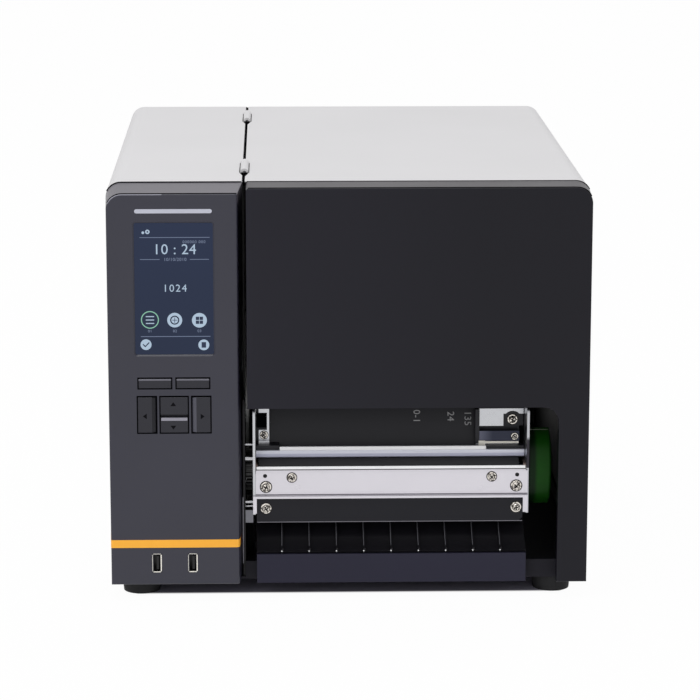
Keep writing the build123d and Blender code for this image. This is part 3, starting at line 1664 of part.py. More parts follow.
parts = {
    "base_pan": make_base_pan,
    "rubber_feet": make_rubber_feet,
    "centre_wall": make_centre_wall,
    "left_cover": make_left_cover,
    "rear_panel": make_rear_panel,
    "front_fascia": make_front_fascia,
    "accent_strip": make_accent_strip,
    "status_light": make_status_light,
    "display_lens": make_display_lens,
    "display_module": make_display_module,
    "control_board": make_control_board,
    "front_usb_sockets": make_front_usb_sockets,
    "lower_front_cover": make_lower_front_cover,
    "exit_chute": make_exit_chute,
    "left_side_plate": lambda: make_side_plate(-1),
    "right_side_plate": lambda: make_side_plate(1),
    "front_plate": make_front_plate,
    "tear_bar": make_tear_bar,
    "lower_plate": make_lower_plate,
    "plate_screws": make_plate_screws,
    "platen_bushes": make_platen_bushes,
    "mechanism_studs": make_mechanism_studs,
    "head_pivot_shaft": make_head_pivot_shaft,
    "feed_table": make_feed_table,
    "media_hanger": make_media_hanger,
    "spindle_bearings": make_spindle_bearings,
    "hinge_leaves": make_hinge_leaves,
    "hinge_pins": make_hinge_pins,
    "drive_motor": make_drive_motor,
    "main_board": make_main_board,
    "power_supply": make_power_supply,
    "power_inlet": make_power_inlet,
    "data_sockets": make_data_sockets,
    "door_front": make_door_front,
    "door_cover": make_door_cover,
    "door_window": make_door_window,
    "door_hinge_arms": make_door_hinge_arms,
    "platen_roller": make_platen_roller,
    "platen_shaft": make_platen_shaft,
    "platen_gear": make_platen_gear,
    "idler_gear": make_idler_gear,
    "motor_pinion": make_motor_pinion,
    "head_frame": make_head_frame,
    "print_head": make_print_head,
    "head_brackets": make_head_brackets,
    "head_screws": make_head_screws,
    "release_lever": make_release_lever,
    "ribbon_supply_spindle": lambda: make_ribbon_spindle(spindle_places()[0]),
    "ribbon_rewind_spindle": lambda: make_ribbon_spindle(spindle_places()[1]),
    "roll_guard": make_roll_guard,
    "media_guide": make_media_guide,
    "tension_arm": make_tension_arm,
    "power_rocker": make_power_rocker,
}
for key in key_spots():
    parts[key] = lambda name=key: make_key(name)

os.makedirs("parts", exist_ok=True)
for node, make in parts.items():
    export_step(make(), "parts/" + node + ".step")
    print(node)
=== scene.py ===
from math import atan2, cos, pi, radians, sin

import bmesh
import bpy
from mathutils import Matrix, Vector
from mathutils.bvhtree import BVHTree


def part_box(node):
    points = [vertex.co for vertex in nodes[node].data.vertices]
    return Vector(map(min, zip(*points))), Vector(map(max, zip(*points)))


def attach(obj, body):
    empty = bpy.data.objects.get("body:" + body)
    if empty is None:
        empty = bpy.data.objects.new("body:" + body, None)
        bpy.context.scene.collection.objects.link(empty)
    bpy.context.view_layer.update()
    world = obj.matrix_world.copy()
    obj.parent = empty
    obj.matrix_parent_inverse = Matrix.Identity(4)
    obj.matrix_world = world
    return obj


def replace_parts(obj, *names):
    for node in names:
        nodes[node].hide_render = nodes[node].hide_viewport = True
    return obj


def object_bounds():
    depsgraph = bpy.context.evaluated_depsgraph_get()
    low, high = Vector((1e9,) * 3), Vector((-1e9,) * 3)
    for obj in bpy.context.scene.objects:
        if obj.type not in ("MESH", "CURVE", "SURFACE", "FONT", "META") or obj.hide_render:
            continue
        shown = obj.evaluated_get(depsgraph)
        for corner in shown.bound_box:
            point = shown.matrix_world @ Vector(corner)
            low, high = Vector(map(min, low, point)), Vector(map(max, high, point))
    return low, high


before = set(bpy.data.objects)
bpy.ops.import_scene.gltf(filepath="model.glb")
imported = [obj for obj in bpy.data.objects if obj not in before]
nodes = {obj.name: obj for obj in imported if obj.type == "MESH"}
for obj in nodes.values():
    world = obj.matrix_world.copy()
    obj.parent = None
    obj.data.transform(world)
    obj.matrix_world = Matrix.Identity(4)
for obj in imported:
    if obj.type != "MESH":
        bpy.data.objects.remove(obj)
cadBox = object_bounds()
mm = 0.001
imageSize = 700
mergeReach = 0.002  # millimetres, within which the points of a finished piece become one
print("frame loaded with", len(nodes), "nodes")


cameraSettings = {
    "place": (-0.06306, -2.5444, 0.70624),
    "lookDown": 12.2167,
    "lookRight": 1.5757,
    "roll": 0.056,
    "focalPixels": 2916.0,
    "sensor": 36.0,
}


def makeCamera(settings):
    data = bpy.data.cameras.new("camera")
    data.sensor_width = settings["sensor"]
    data.lens = settings["focalPixels"] * settings["sensor"] / imageSize
    camera = bpy.data.objects.new("camera", data)
    heading = Matrix.Rotation(-radians(settings["lookRight"]), 4, "Z")
    tilt = Matrix.Rotation(radians(90 - settings["lookDown"]), 4, "X")
    roll = Matrix.Rotation(radians(settings["roll"]), 4, "Z")
    camera.matrix_world = Matrix.Translation(settings["place"]) @ heading @ tilt @ roll
    bpy.context.scene.collection.objects.link(camera)
    bpy.context.scene.camera = camera


makeCamera(cameraSettings)
print("camera placed")


# The lowest and highest corner of a CAD node, in millimetres.
def nodeBox(name):
    low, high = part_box(name)
    return Vector(low) / mm, Vector(high) / mm


# Where a line from a start in millimetres first meets a CAD node, in metres.
def hitOn(name, start, heading):
    mesh = nodes[name].data
    corners = [vert.co for vert in mesh.vertices]
    tree = BVHTree.FromPolygons(corners, [face.vertices for face in mesh.polygons])
    return tree.ray_cast(Vector([part * mm for part in start]), Vector(heading))[0]


# How far back a line from the front at x, z first meets a CAD node.
def frontOf(name, x, z):
    return hitOn(name, (x, -1000, z), (0, 1, 0)).y / mm


# The lowest and highest corner, in millimetres, of each separate solid of a CAD node.
def solidsOf(name):
    copy = bmesh.new()
    copy.from_mesh(nodes[name].data)
    bmesh.ops.remove_doubles(copy, verts=copy.verts[:], dist=0.01 * mm)
    left = set(copy.verts)
    boxes = []
    while left:
        found = [left.pop()]
        for vert in found:
            for edge in vert.link_edges:
                other = edge.other_vert(vert)
                if other in left:
                    left.remove(other)
                    found.append(other)
        low = Vector([min(vert.co[axis] for vert in found) for axis in range(3)]) / mm
        high = Vector([max(vert.co[axis] for vert in found) for axis in range(3)]) / mm
        boxes.append((low, high))
    copy.free()
    return sorted(boxes, key=lambda box: (round(box[0].x), round(box[0].z)))


# A socket that adds Math nodes when it is used in a sum.
class Wire:
    def __init__(self, finish, socket):
        self.finish = finish
        self.socket = socket

    def maths(self, operation, first, second):
        return self.finish.node("ShaderNodeMath", {"operation": operation}, {0: first, 1: second})

    def __add__(self, other):
        return self.maths("ADD", self, other)

    def __radd__(self, other):
        return self.maths("ADD", other, self)

    def __sub__(self, other):
        return self.maths("SUBTRACT", self, other)

    def __rsub__(self, other):
        return self.maths("SUBTRACT", other, self)

    def __mul__(self, other):
        return self.maths("MULTIPLY", self, other)

    def __rmul__(self, other):
        return self.maths("MULTIPLY", other, self)

    def above(self, level):
        return self.maths("GREATER_THAN", self, level)

    def power(self, other):
        return self.maths("POWER", self, other)

    def atLeast(self, other):
        return self.maths("MAXIMUM", self, other)

    def size(self):
        return self.maths("ABSOLUTE", self, 0)


# A material with one Principled shader, whose nodes are added through node(). Sizes, depths and the ends of
# between() are in millimetres.
class Finish:
    def __init__(self, name, constants):
        self.material = bpy.data.materials.new(name)
        self.material.use_nodes = True
        self.tree = self.material.node_tree
        self.tree.nodes.clear()
        self.out = self.tree.nodes.new("ShaderNodeOutputMaterial")
        self.shader = self.tree.nodes.new("ShaderNodeBsdfPrincipled")
        self.tree.links.new(self.shader.outputs[0], self.out.inputs[0])
        for socket, value in constants.items():
            self.shader.inputs[socket].default_value = value
        self.place = self.node("ShaderNodeTexCoord", output="Object")

    def plug(self, socket, value):
        if isinstance(value, Wire):
            self.tree.links.new(value.socket, socket)
        else:
            socket.default_value = value

    def node(self, kind, settings=None, values=None, output=0):
        made = self.tree.nodes.new(kind)
        for name, value in (settings or {}).items():
            setattr(made, name, value)
        for socket, value in (values or {}).items():
            self.plug(made.inputs[socket], value)
        return Wire(self, made.outputs[output])

    def stretched(self, scale, turn=(0, 0, 0)):
        values = {"Vector": self.place, "Rotation": turn, "Scale": scale}
        return self.node("ShaderNodeMapping", None, values)

    def noise(self, size, detail=3.0, rough=0.55, vector=None):
        scale = 1 / (size * mm)
        values = {"Vector": vector or self.place, "Scale": scale, "Detail": detail, "Roughness": rough}
        return self.node("ShaderNodeTexNoise", None, values)

    def streaks(self, axis, size, share=0.015):
        scale = [1.0, 1.0, 1.0]
        scale["XYZ".index(axis)] = share
        return self.noise(size, 3.0, 0.6, self.stretched(scale))

    def fade(self, value, low, high):
        return self.node("ShaderNodeMapRange", None, {0: value, 1: low, 2: high, 3: 0.0, 4: 1.0})

    def blend(self, factor, first, second):
        kind = {"data_type": "RGBA", "clamp_factor": True}
        return self.node("ShaderNodeMix", kind, {0: factor, 6: first, 7: second}, output=2)

    def mottled(self, factor, colour, dark, light):
        return self.blend(factor, shade(colour, dark), shade(colour, light))

    def along(self, axis):
        return self.node("ShaderNodeSeparateXYZ", None, {0: self.place}, output="XYZ".index(axis))

    def between(self, axis, low, high, soft=0.1):
        place = self.along(axis)
        rise = self.fade(place, (low - soft) * mm, (low + soft) * mm)
        fall = self.fade(place, (high + soft) * mm, (high - soft) * mm)
        return rise * fall

    def colour(self, value):
        self.plug(self.shader.inputs["Base Color"], value)

    def glow(self, value):
        self.plug(self.shader.inputs["Emission Color"], value)

    def roughness(self, value):
        self.plug(self.shader.inputs["Roughness"], value)

    def bump(self, height, depth, strength):
        values = {"Height": height, "Distance": depth * mm, "Strength": strength}
        self.plug(self.shader.inputs["Normal"], self.node("ShaderNodeBump", None, values))


# Colours are written as screen values from 0 to 255.
def tone(red, green, blue):
    def linear(value):
        part = value / 255
        return part / 12.92 if part <= 0.04045 else ((part + 0.055) / 1.055) ** 2.4

    return (linear(red), linear(green), linear(blue), 1.0)


def shade(colour, amount):
    return tuple(part * amount for part in colour[:3]) + (colour[3],)


# Where the upper band of a front moulding catches the light, in millimetres.
topBand = {"front": -249.8, "back": -200.0, "start": 326.0, "end": 334.0}


# Spark-eroded moulded plastic: an even fine grain, faintly cloudy, a little shinier on the high spots. It may
# carry painted shade that darkens it along an axis to another tone, and a painted highlight tone on the upper
# band of a front moulding.
def mouldedPlastic(
    name, colour, grain=0.5, depth=0.035, rough=0.52, shine=0.35, cloud=0.12, topHighlight=None, shadeDrift=None,
):
    finish = Finish(name, {"Specular IOR Level": shine})
    speckle = finish.noise(grain, 4.0, 0.7)
    haze = finish.noise(45)
    base = finish.mottled(haze * 0.75 + speckle * 0.25, colour, 1 - cloud, 1 + cloud)
    if shadeDrift:
        axis, start, end, far = shadeDrift
        base = finish.blend(finish.fade(finish.along(axis), start * mm, end * mm), base, far)
    if topHighlight:
        climb = finish.fade(finish.along("Z"), topBand["start"] * mm, topBand["end"] * mm)
        band = finish.between("Y", topBand["front"], topBand["back"]) * climb
        base = finish.blend(band, base, topHighlight)
    finish.colour(base)
    finish.roughness(rough - 0.06 + haze * 0.08 + speckle * 0.05)
    finish.bump(speckle, depth, 0.6)
    return finish.material


# Painted sheet steel: orange peel in the coat and a faint change of tone over the sheet.
def paintedSheet(name, colour, rough=0.42, shine=0.5):
    finish = Finish(name, {"Specular IOR Level": shine, "Coat Roughness": 0.3})
    orangePeel = finish.noise(1.6, 2.0, 0.45)
    grit = finish.noise(0.35, 2.0)
    haze = finish.noise(120, 2.0)
    finish.colour(finish.mottled(haze * 0.7 + grit * 0.3, colour, 0.94, 1.05))
    finish.roughness(rough + haze * 0.08 - 0.04 + grit * 0.04)
    finish.bump(orangePeel + grit * 0.35, 0.02, 0.7)
    return finish.material


# Cover paint: light outside, black on the inner skin and at the cut edges. Between two depths under the outer
# face the paint fades into the black.
def coverPaint(name, colour, inner, corner, depths):
    finish = Finish(name, {"Specular IOR Level": 0.5})
    low, high = nodeBox("left_cover")
    across = (finish.along("X").size() - (-low.x - corner) * mm).atLeast(0)
    above = (finish.along("Z") - (high.z - corner) * mm).atLeast(0)
    reach = (across * across + above * above).power(0.5)
    skin = finish.fade(reach, (corner - depths[0]) * mm, (corner - depths[1]) * mm)
    orangePeel = finish.noise(1.6, 2.0, 0.45)
    haze = finish.noise(120, 2.0)
    finish.colour(finish.blend(skin, inner, finish.mottled(haze, colour, 0.96, 1.03)))
    finish.roughness(haze * 0.08 + 0.46)
    finish.bump(orangePeel, 0.02, 0.7)
    return finish.material


# Rolled and brushed metal: long streaks along one axis. A band has another tone, within its reach if one is
# given.
def brushedMetal(name, colour, axis="X", rough=0.3, metallic=1.0, band=None, reach=None):
    finish = Finish(name, {"Metallic": metallic})
    lines = finish.streaks(axis, 0.35)
    stain = finish.noise(18, 4.0, 0.6)
    metal = finish.mottled(lines * 0.5 + stain * 0.5, colour, 0.88, 1.12)
    if band:
        mask = finish.between(*band[:4])
        if reach:
            mask = mask * finish.between(*reach)
        metal = finish.blend(mask, metal, band[4])
    finish.colour(metal)
    finish.roughness(rough - 0.1 + lines * 0.12 + stain * 0.1)
    finish.bump(lines, 0.006, 0.5)
    return finish.material


# Turned metal: fine tool rings along an axis. Painted reflection blotches stand for what a bright screw head
# mirrors, and a band has another tone.
def turnedMetal(name, colour, axis="X", rough=0.24, pitch=0.35, metallic=1.0, paintedReflection=0.0, band=None):
    finish = Finish(name, {"Metallic": metallic})
    across = {"X": (pi / 2, 0, pi / 2), "Y": (pi / 2, 0, 0), "Z": (0, 0, 0)}[axis]
    vector = finish.stretched((1, 1, 1), across)
    rings = finish.node(
        "ShaderNodeTexWave",
        {"wave_type": "BANDS", "bands_direction": "Z"},
        {"Vector": vector, "Scale": 0.5 / (pitch * mm), "Distortion": 0.6, "Detail": 2.0},
    )
    stain = finish.noise(3)
    metal = finish.mottled(rings * 0.4 + stain * 0.6, colour, 0.86, 1.1)
    if paintedReflection:
        dark = finish.fade(finish.noise(1.9, 1.0), 0.5, 0.42)
        metal = finish.blend(dark * paintedReflection, metal, tone(38, 34, 32))
    if band:
        metal = finish.blend(finish.between(*band[:4]), metal, band[4])
    finish.colour(metal)
    finish.roughness(rough - 0.05 + stain * 0.12)
    finish.bump(rings, 0.006, 0.4)
    return finish.material


# Zinc-plated sheet: pale mottled bloom over a satin metal.
def platedSheet(name, colour, rough):
    finish = Finish(name, {"Metallic": 1.0})
    bloom = finish.noise(7, 5.0, 0.65)
    streaks = finish.streaks("Y", 0.4, 0.03)
    finish.colour(finish.mottled(bloom, colour, 0.88, 1.08))
    finish.roughness(rough - 0.08 + bloom * 0.14 + streaks * 0.08)
    finish.bump(streaks + bloom * 0.3, 0.008, 0.5)
    return finish.material


# Ground rubber: matt, with very fine grinding marks round the roller.
def groundRubber(name, colour, rough, grain=0.3, depth=0.02):
    finish = Finish(name, {"Specular IOR Level": 0.35})
    marks = finish.noise(grain, 4.0, 0.7, finish.stretched((1.0, 0.25, 0.25)))
    dust = finish.noise(9, 4.0)
    finish.colour(finish.mottled(dust * 0.6 + marks * 0.4, colour, 0.8, 1.25))
    finish.roughness(rough - 0.08 + dust * 0.16)
    finish.bump(marks, depth, 0.6)
    return finish.material


# Printed circuit board: lacquer over copper tracks, with drilled pads.
def circuitBoard(name, colour):
    finish = Finish(name, {"Specular IOR Level": 0.6, "Coat Roughness": 0.15})
    greys = {"Color1": (0, 0, 0, 1), "Color2": (0.5, 0.5, 0.5, 1), "Mortar": (1, 1, 1, 1)}
    brick = {"Vector": finish.place, "Scale": 120.0, "Mortar Size": 0.05, **greys}
    tracks = finish.node("ShaderNodeTexBrick", None, brick)
    pads = finish.node("ShaderNodeTexVoronoi", {"feature": "F1"}, {"Vector": finish.place, "Scale": 240.0})
    lit = finish.mottled(tracks, colour, 0.7, 1.7)
    padMask = 1 - finish.fade(pads, 0.12, 0.2)
    finish.colour(finish.blend(padMask, lit, tone(190, 180, 120)))
    finish.roughness(0.32 + padMask * 0.1)
    finish.bump(tracks, 0.03, 0.5)
    return finish.material


# Glossy or clear plastic with a slight flow unevenness under the skin, and a darker end where one is given.
def glossyPlastic(name, colour, rough, glow=0.0, alpha=1.0, skinDepth=0.008, end=None):
    finish = Finish(name, {"Specular IOR Level": 0.5, "Alpha": alpha, "Emission Strength": glow})
    flow = finish.noise(14)
    skin = finish.noise(0.6, 2.0)
    cloudy = finish.mottled(flow * 0.8 + skin * 0.2, colour, 0.93, 1.06)
    if end:
        place, far = end
        cloudy = finish.blend(finish.fade(finish.along("X"), (place - 0.5) * mm, place * mm), cloudy, far)
    finish.colour(cloudy)
    if glow:
        finish.glow(cloudy)
    finish.roughness(rough - 0.04 + flow * 0.08)
    if skinDepth:
        finish.bump(skin, skinDepth, 0.4)
    return finish.material


# Lit screen: a navy field that changes slowly from top to bottom and from side to side.
def litScreen(name, colour, glow, low, high):
    finish = Finish(name, {"Emission Strength": glow, "Roughness": 0.14, "Specular IOR Level": 0.25})
    slow = finish.noise(70, 2.0)
    climb = finish.fade(finish.along("Z"), low * mm, high * mm)
    finish.colour(shade(colour, 0.05))
    finish.glow(finish.mottled(slow * 0.4 + climb * 0.6, colour, 0.84, 1.14))
    return finish.material


# Front plate steel: brushed, with a painted shade line along the hem's bend.
def hemmedPlate(name, colour, hemShade):
    finish = Finish(name, {"Metallic": 0.6})
    streaks = finish.streaks("X", 0.35)
    stain = finish.noise(40, 4.0, 0.6)
    steel = finish.mottled(streaks * 0.4 + stain * 0.6, colour, 0.93, 1.05)
    finish.colour(finish.blend(finish.between("Z", *hemShade) * 0.85, steel, tone(60, 58, 68)))
    finish.roughness(0.24 + streaks * 0.1 + stain * 0.06)
    finish.bump(streaks, 0.004, 0.4)
    return finish.material


# Tinted lever plastic: deep green at its left flank, with a painted highlight band of lighter green near the
# right one.
def leverPlastic(name, deep, clear, highlightSpan):
    finish = Finish(name, {"Specular IOR Level": 0.12})
    grain = finish.noise(0.8)
    flow = finish.noise(16)
    band = finish.between("X", *highlightSpan, 1.2)
    green = finish.blend(band * (flow * 0.5 + 0.7), deep, clear)
    finish.colour(finish.blend(grain * 0.3, green, shade(clear, 0.7)))
    finish.roughness(grain * 0.08 + 0.34)
    finish.bump(grain, 0.02, 0.5)
    return finish.material


# Socket metal at the mouth, dark behind it: partly the black plastic inside, partly painted shade inside the
# metal shell. The side is 1 for a socket on the front, -1 at the back.
def socketMetal(name, colour, mouth, side):
    finish = Finish(name, {"Specular IOR Level": 0.4})
    bloom = finish.noise(3, 4.0)
    insideShade = (finish.along("Y") * side).above(mouth * side * mm)
    bright = finish.mottled(bloom, colour, 0.85, 1.1)
    finish.colour(finish.blend(insideShade, bright, tone(14, 14, 17)))
    finish.plug(finish.shader.inputs["Metallic"], 0.75 - insideShade * 0.75)
    finish.roughness(bloom * 0.1 + 0.24)
    finish.bump(bloom, 0.006, 0.4)
    return finish.material


# Ink or light printed thinly on a surface, with an uneven edge and body. The same finish also gives thin
# pieces their painted shade and painted highlights.
def printedInk(name, colour, glow=0.0, shine=0.3):
    finish = Finish(name, {"Emission Strength": glow, "Specular IOR Level": shine})
    spread = finish.noise(0.5)
    ink = finish.mottled(spread, colour, 0.88, 1.08)
    if glow:
        finish.colour(finish.mottled(spread, colour, 0.1, 0.14))
        finish.glow(ink)
    else:
        finish.colour(ink)
    finish.roughness(spread * 0.1 + 0.45)
    finish.bump(spread, 0.004, 0.3)
    return finish.material


keyGrain = {"grain": 0.35, "depth": 0.02, "rough": 0.4}
screenGlow = 0.85

# Places in a finish are in millimetres. A band is its axis, start, end, softness and tone.
finishes = {
    "pan": paintedSheet("dark painted pan", tone(30, 29, 36), rough=0.6, shine=0.18),
    "foot": groundRubber("moulded foot rubber", tone(34, 34, 36), rough=0.8, grain=1.2, depth=0.05),
    "wall": paintedSheet("dark centre wall", tone(14, 14, 17), rough=0.45, shine=0.3),
    "cover": coverPaint(
        "light grey cover paint", tone(213, 212, 214), tone(12, 12, 14), corner=12.5, depths=(0.75, 0.55),
    ),
    "rear": paintedSheet("dark rear paint", tone(48, 48, 52), rough=0.5),
    # The fascia and the door carry a painted highlight tone on their upper band, and the door darkens towards
    # its right as painted shade.
    "fascia": mouldedPlastic(
        "fascia plastic", tone(44, 44, 57), depth=0.03, rough=0.34, shine=0.5, topHighlight=tone(98, 95, 103),
    ),
    "door": mouldedPlastic(
        "door plastic", tone(24, 23, 34), depth=0.03, rough=0.36, shine=0.25, topHighlight=tone(58, 54, 60),
        shadeDrift=("X", -90, 110, tone(14, 13, 23)),
    ),
    "lowCover": mouldedPlastic("lower cover plastic", tone(35, 34, 51), shine=0.25),
    "chute": mouldedPlastic(
        "chute plastic", tone(13, 12, 17), grain=0.4, depth=0.02, rough=0.42, shine=0.25,
    ),
    # The orange stripe has a faint painted glow, though it holds no lamp.
    "orange": glossyPlastic(
        "orange stripe plastic", tone(255, 180, 50), rough=0.4, glow=0.05, end=(-88.9, tone(60, 22, 8)),
    ),
    "lightBar": glossyPlastic("light bar plastic", tone(184, 186, 199), rough=0.3, glow=0.1),
    "screen": litScreen("lit screen", tone(28, 39, 64), glow=1.0, low=206, high=313),
    "board": circuitBoard("board lacquer", tone(20, 96, 52)),
    "socket": socketMetal("front socket metal", tone(70, 70, 76), mouth=-250.6, side=1),
    "sidePlate": platedSheet("plated side plate", tone(200, 201, 205), rough=0.26),
    "frontPlate": hemmedPlate("bright front plate", tone(222, 219, 226), hemShade=(84.0, 84.9)),
    "tearBar": brushedMetal("ground tear bar", tone(222, 219, 226), rough=0.5, metallic=0.6),
    "blackPlate": paintedSheet("black coated plate", tone(23, 23, 30), rough=0.48, shine=0.25),
    "chrome": turnedMetal(
        "chromed screw", tone(228, 222, 214), "Y", rough=0.16, pitch=0.3, metallic=0.95, paintedReflection=0.85,
    ),
    "brass": turnedMetal("sintered bush", tone(150, 132, 126), rough=0.4, pitch=0.3),
    "steel": turnedMetal("turned steel", tone(186, 186, 190), pitch=0.4),
    "studs": turnedMetal(
        "turned studs", tone(190, 190, 194), pitch=0.4, band=("Z", 60, 71.6, 0.1, tone(112, 112, 118)),
    ),
    "rightPlate": brushedMetal(
        "right plate steel", tone(188, 189, 194), "Z",
        band=("Z", 104, 131, 1.5, tone(60, 58, 64)), reach=("Y", -236, -232, 0.4),
    ),
    "hangerMetal": turnedMetal("drawn aluminium", tone(196, 198, 202), rough=0.34, pitch=0.5),
    "motor": paintedSheet("motor paint", tone(30, 30, 32), rough=0.45),
    "supply": platedSheet("folded aluminium case", tone(190, 191, 194), rough=0.34),
    "inlet": mouldedPlastic("inlet plastic", tone(24, 24, 26), grain=0.3),
    "window": glossyPlastic("smoked window", tone(50, 54, 58), rough=0.08, alpha=0.45, skinDepth=0.0),
    "roller": groundRubber("platen rubber", tone(52, 52, 55), rough=0.6),
    "gear": mouldedPlastic(
        "gear plastic", tone(22, 22, 24), grain=0.3, depth=0.01, rough=0.4, shine=0.5, cloud=0.04,
    ),
    "headFrame": paintedSheet("black head frame", tone(30, 30, 36), rough=0.36, shine=0.3),
    "headMetal": brushedMetal(
        "head aluminium", tone(196, 198, 218), rough=0.4, metallic=0.4,
        band=("Z", 115.2, 119, 0.3, tone(226, 228, 240)),
    ),
    "lever": leverPlastic("green lever plastic", tone(6, 24, 10), tone(18, 68, 10), highlightSpan=(153.6, 165.0)),
    "spindle": mouldedPlastic("spindle plastic", tone(44, 44, 46), grain=0.4, depth=0.02, rough=0.45),
    "key": mouldedPlastic("key plastic", tone(34, 34, 43), shine=0.4, **keyGrain),
    "rearSocket": socketMetal("rear socket metal", tone(205, 205, 210), mouth=249.0, side=-1),
    "slopeHighlight": printedInk("down key slope painted highlight", tone(150, 148, 160)),
    "symbol": printedInk("key symbol ink", tone(14, 14, 18), shine=0.05),
    "hoodInk": printedInk("hood numeral ink", tone(170, 170, 172)),
    "screenWhite": printedInk("screen white", tone(176, 196, 216), screenGlow),
    "screenPale": printedInk("screen pale lines", tone(112, 124, 150), screenGlow),
    "screenDim": printedInk("screen dim numerals", tone(122, 134, 160), screenGlow),
    "screenBlue": printedInk("screen navy", tone(40, 50, 76), screenGlow),
    "screenGreen": printedInk("screen green", tone(140, 196, 170), screenGlow),
    # The next two are black for painted shade: in recesses, under parts and in the gaps between parts.
    "shadeBlack": printedInk("painted shade black", tone(10, 10, 12)),
    "gapBlack": printedInk("painted gap shade", tone(7, 7, 9), shine=0.0),
    "edgeLight": printedInk("lit moulding edge", tone(150, 150, 162)),
    # Lit and shaded copies of the key plastic: painted highlight on the soft keys' top edge and on one flank,
    # painted shade on the other flanks.
    "keyLit": mouldedPlastic("key top painted highlight", tone(104, 103, 114), shine=0.5, **keyGrain),
    "keyFlankHighlight": mouldedPlastic("key flank painted highlight", tone(72, 72, 84), shine=0.5, **keyGrain),
    "keyFlankShade": mouldedPlastic("key flank painted shade", tone(18, 18, 26), shine=0.3, **keyGrain),
    "contact": turnedMetal("gilded contact", tone(214, 176, 96), "Z", rough=0.26, pitch=0.3),
    "ribHighlight": printedInk("rib edge painted highlight", tone(92, 92, 98)),
    "polishedAndHighlight": brushedMetal("polished strip and painted highlight", tone(250, 250, 252), rough=0.45, metallic=0.3),
    "darkSteel": turnedMetal("black screw", tone(46, 46, 50), "Y", rough=0.34, pitch=0.3),
    "rocker": glossyPlastic("rocker plastic", tone(24, 24, 26), rough=0.2),
    "rimHighlight": glossyPlastic("lit green rim", tone(150, 160, 140), rough=0.25),
    "navy": brushedMetal(
        "blued steel strip", tone(40, 44, 62), metallic=0.5, band=("X", 92, 112, 7, tone(104, 106, 124)),
    ),
    "cream": brushedMetal("bright folded edge", tone(250, 246, 236), rough=0.4, metallic=0.2),
    "greyEdge": brushedMetal("grey sheet edge", tone(120, 118, 126), "Z", rough=0.4, metallic=0.3),
}

nodeFinishes = {
    "pan": ["base_pan"],
    "foot": ["rubber_feet"],
    "wall": ["centre_wall"],
    "cover": ["left_cover", "hinge_leaves", "door_cover", "door_hinge_arms"],
    "rear": ["rear_panel"],
    "fascia": ["front_fascia"],
    "door": ["door_front"],
    "lowCover": ["lower_front_cover"],
    "chute": ["exit_chute"],
    "orange": ["accent_strip"],
    "lightBar": ["status_light"],
    "screen": ["display_lens", "display_module"],
    "board": ["control_board", "main_board"],
    "socket": ["front_usb_sockets"],
    "rearSocket": ["data_sockets"],
    "sidePlate": ["left_side_plate", "head_brackets"],
    "rightPlate": ["right_side_plate"],
    "frontPlate": ["front_plate"],
    "tearBar": ["tear_bar"],
    "blackPlate": ["lower_plate", "feed_table"],
    "chrome": ["plate_screws", "head_screws"],
    "brass": ["platen_bushes"],
    "steel": ["head_pivot_shaft", "hinge_pins", "platen_shaft", "motor_pinion", "tension_arm"],
    "studs": ["mechanism_studs"],
    "hangerMetal": ["media_hanger"],
    "motor": ["drive_motor"],
    "supply": ["power_supply"],
    "inlet": ["power_inlet"],
    "window": ["door_window"],
    "roller": ["platen_roller"],
    "gear": ["platen_gear", "idler_gear"],
    "headFrame": ["head_frame"],
    "headMetal": ["print_head"],
    "lever": ["release_lever"],
    "spindle": [
        "spindle_bearings", "ribbon_supply_spindle", "ribbon_rewind_spindle", "roll_guard", "media_guide",
    ],
    "key": [
        "soft_key_left", "soft_key_right", "nav_key_left", "nav_key_right", "nav_key_up", "nav_key_down",
    ],
    "rocker": ["power_rocker"],
}


def dressNodes(groups):
    for finishName, names in groups.items():
        for name in names:
            mesh = nodes[name].data
            mesh.materials.clear()
            mesh.materials.append(finishes[finishName])


dressNodes(nodeFinishes)
print("nodes dressed with", len(finishes), "finishes")


facing = {
    "up": Matrix.Identity(4),
    "front": Matrix.Rotation(pi / 2, 4, "X"),
    "back": Matrix.Rotation(-pi / 2, 4, "X"),
}


def mendShape(shape, reach):
    bmesh.ops.remove_doubles(shape, verts=shape.verts[:], dist=reach)
    bmesh.ops.recalc_face_normals(shape, faces=shape.faces[:])


def makeObject(name, shape):
    mesh = bpy.data.meshes.new(name)
    shape.to_mesh(mesh)
    shape.free()
    made = bpy.data.objects.new(name, mesh)
    bpy.context.scene.collection.objects.link(made)
    return made


# A piece's shape is made in millimetres at its own place, and turned into metres here.
def finishPiece(name, shape, finish, body):
    mendShape(shape, mergeReach)
    bmesh.ops.scale(shape, vec=(mm, mm, mm), verts=shape.verts[:])
    piece = makeObject(name, shape)
    piece.data.materials.append(finishes[finish])
    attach(piece, body)
    return piece


def dashed(name):
    return name.replace("_", "-")


def moveNew(shape, old, matrix):
    bmesh.ops.transform(shape, matrix=matrix, verts=[vert for vert in shape.verts if vert not in old])


# The edges at some points, each once and in the same order every run.
def edgesAt(verts):
    return list(dict.fromkeys(line for vert in verts for line in vert.link_edges))


# A block between two corners, with its edges rounded.
def addSlab(shape, low, high, edge, segments=1, matrix=None):
    old = set(shape.verts)
    size = [top - bottom for bottom, top in zip(low, high)]
    centre = [(top + bottom) / 2 for bottom, top in zip(low, high)]
    place = Matrix.Translation(centre) @ Matrix.Diagonal((*size, 1.0))
    made = bmesh.ops.create_cube(shape, size=1.0, matrix=place)
    bmesh.ops.bevel(
        shape, geom=edgesAt(made["verts"]), offset=edge, offset_type="OFFSET", segments=segments, profile=0.5,
        affect="EDGES", material=-1, clamp_overlap=True,
    )
    if matrix:
        moveNew(shape, old, matrix)


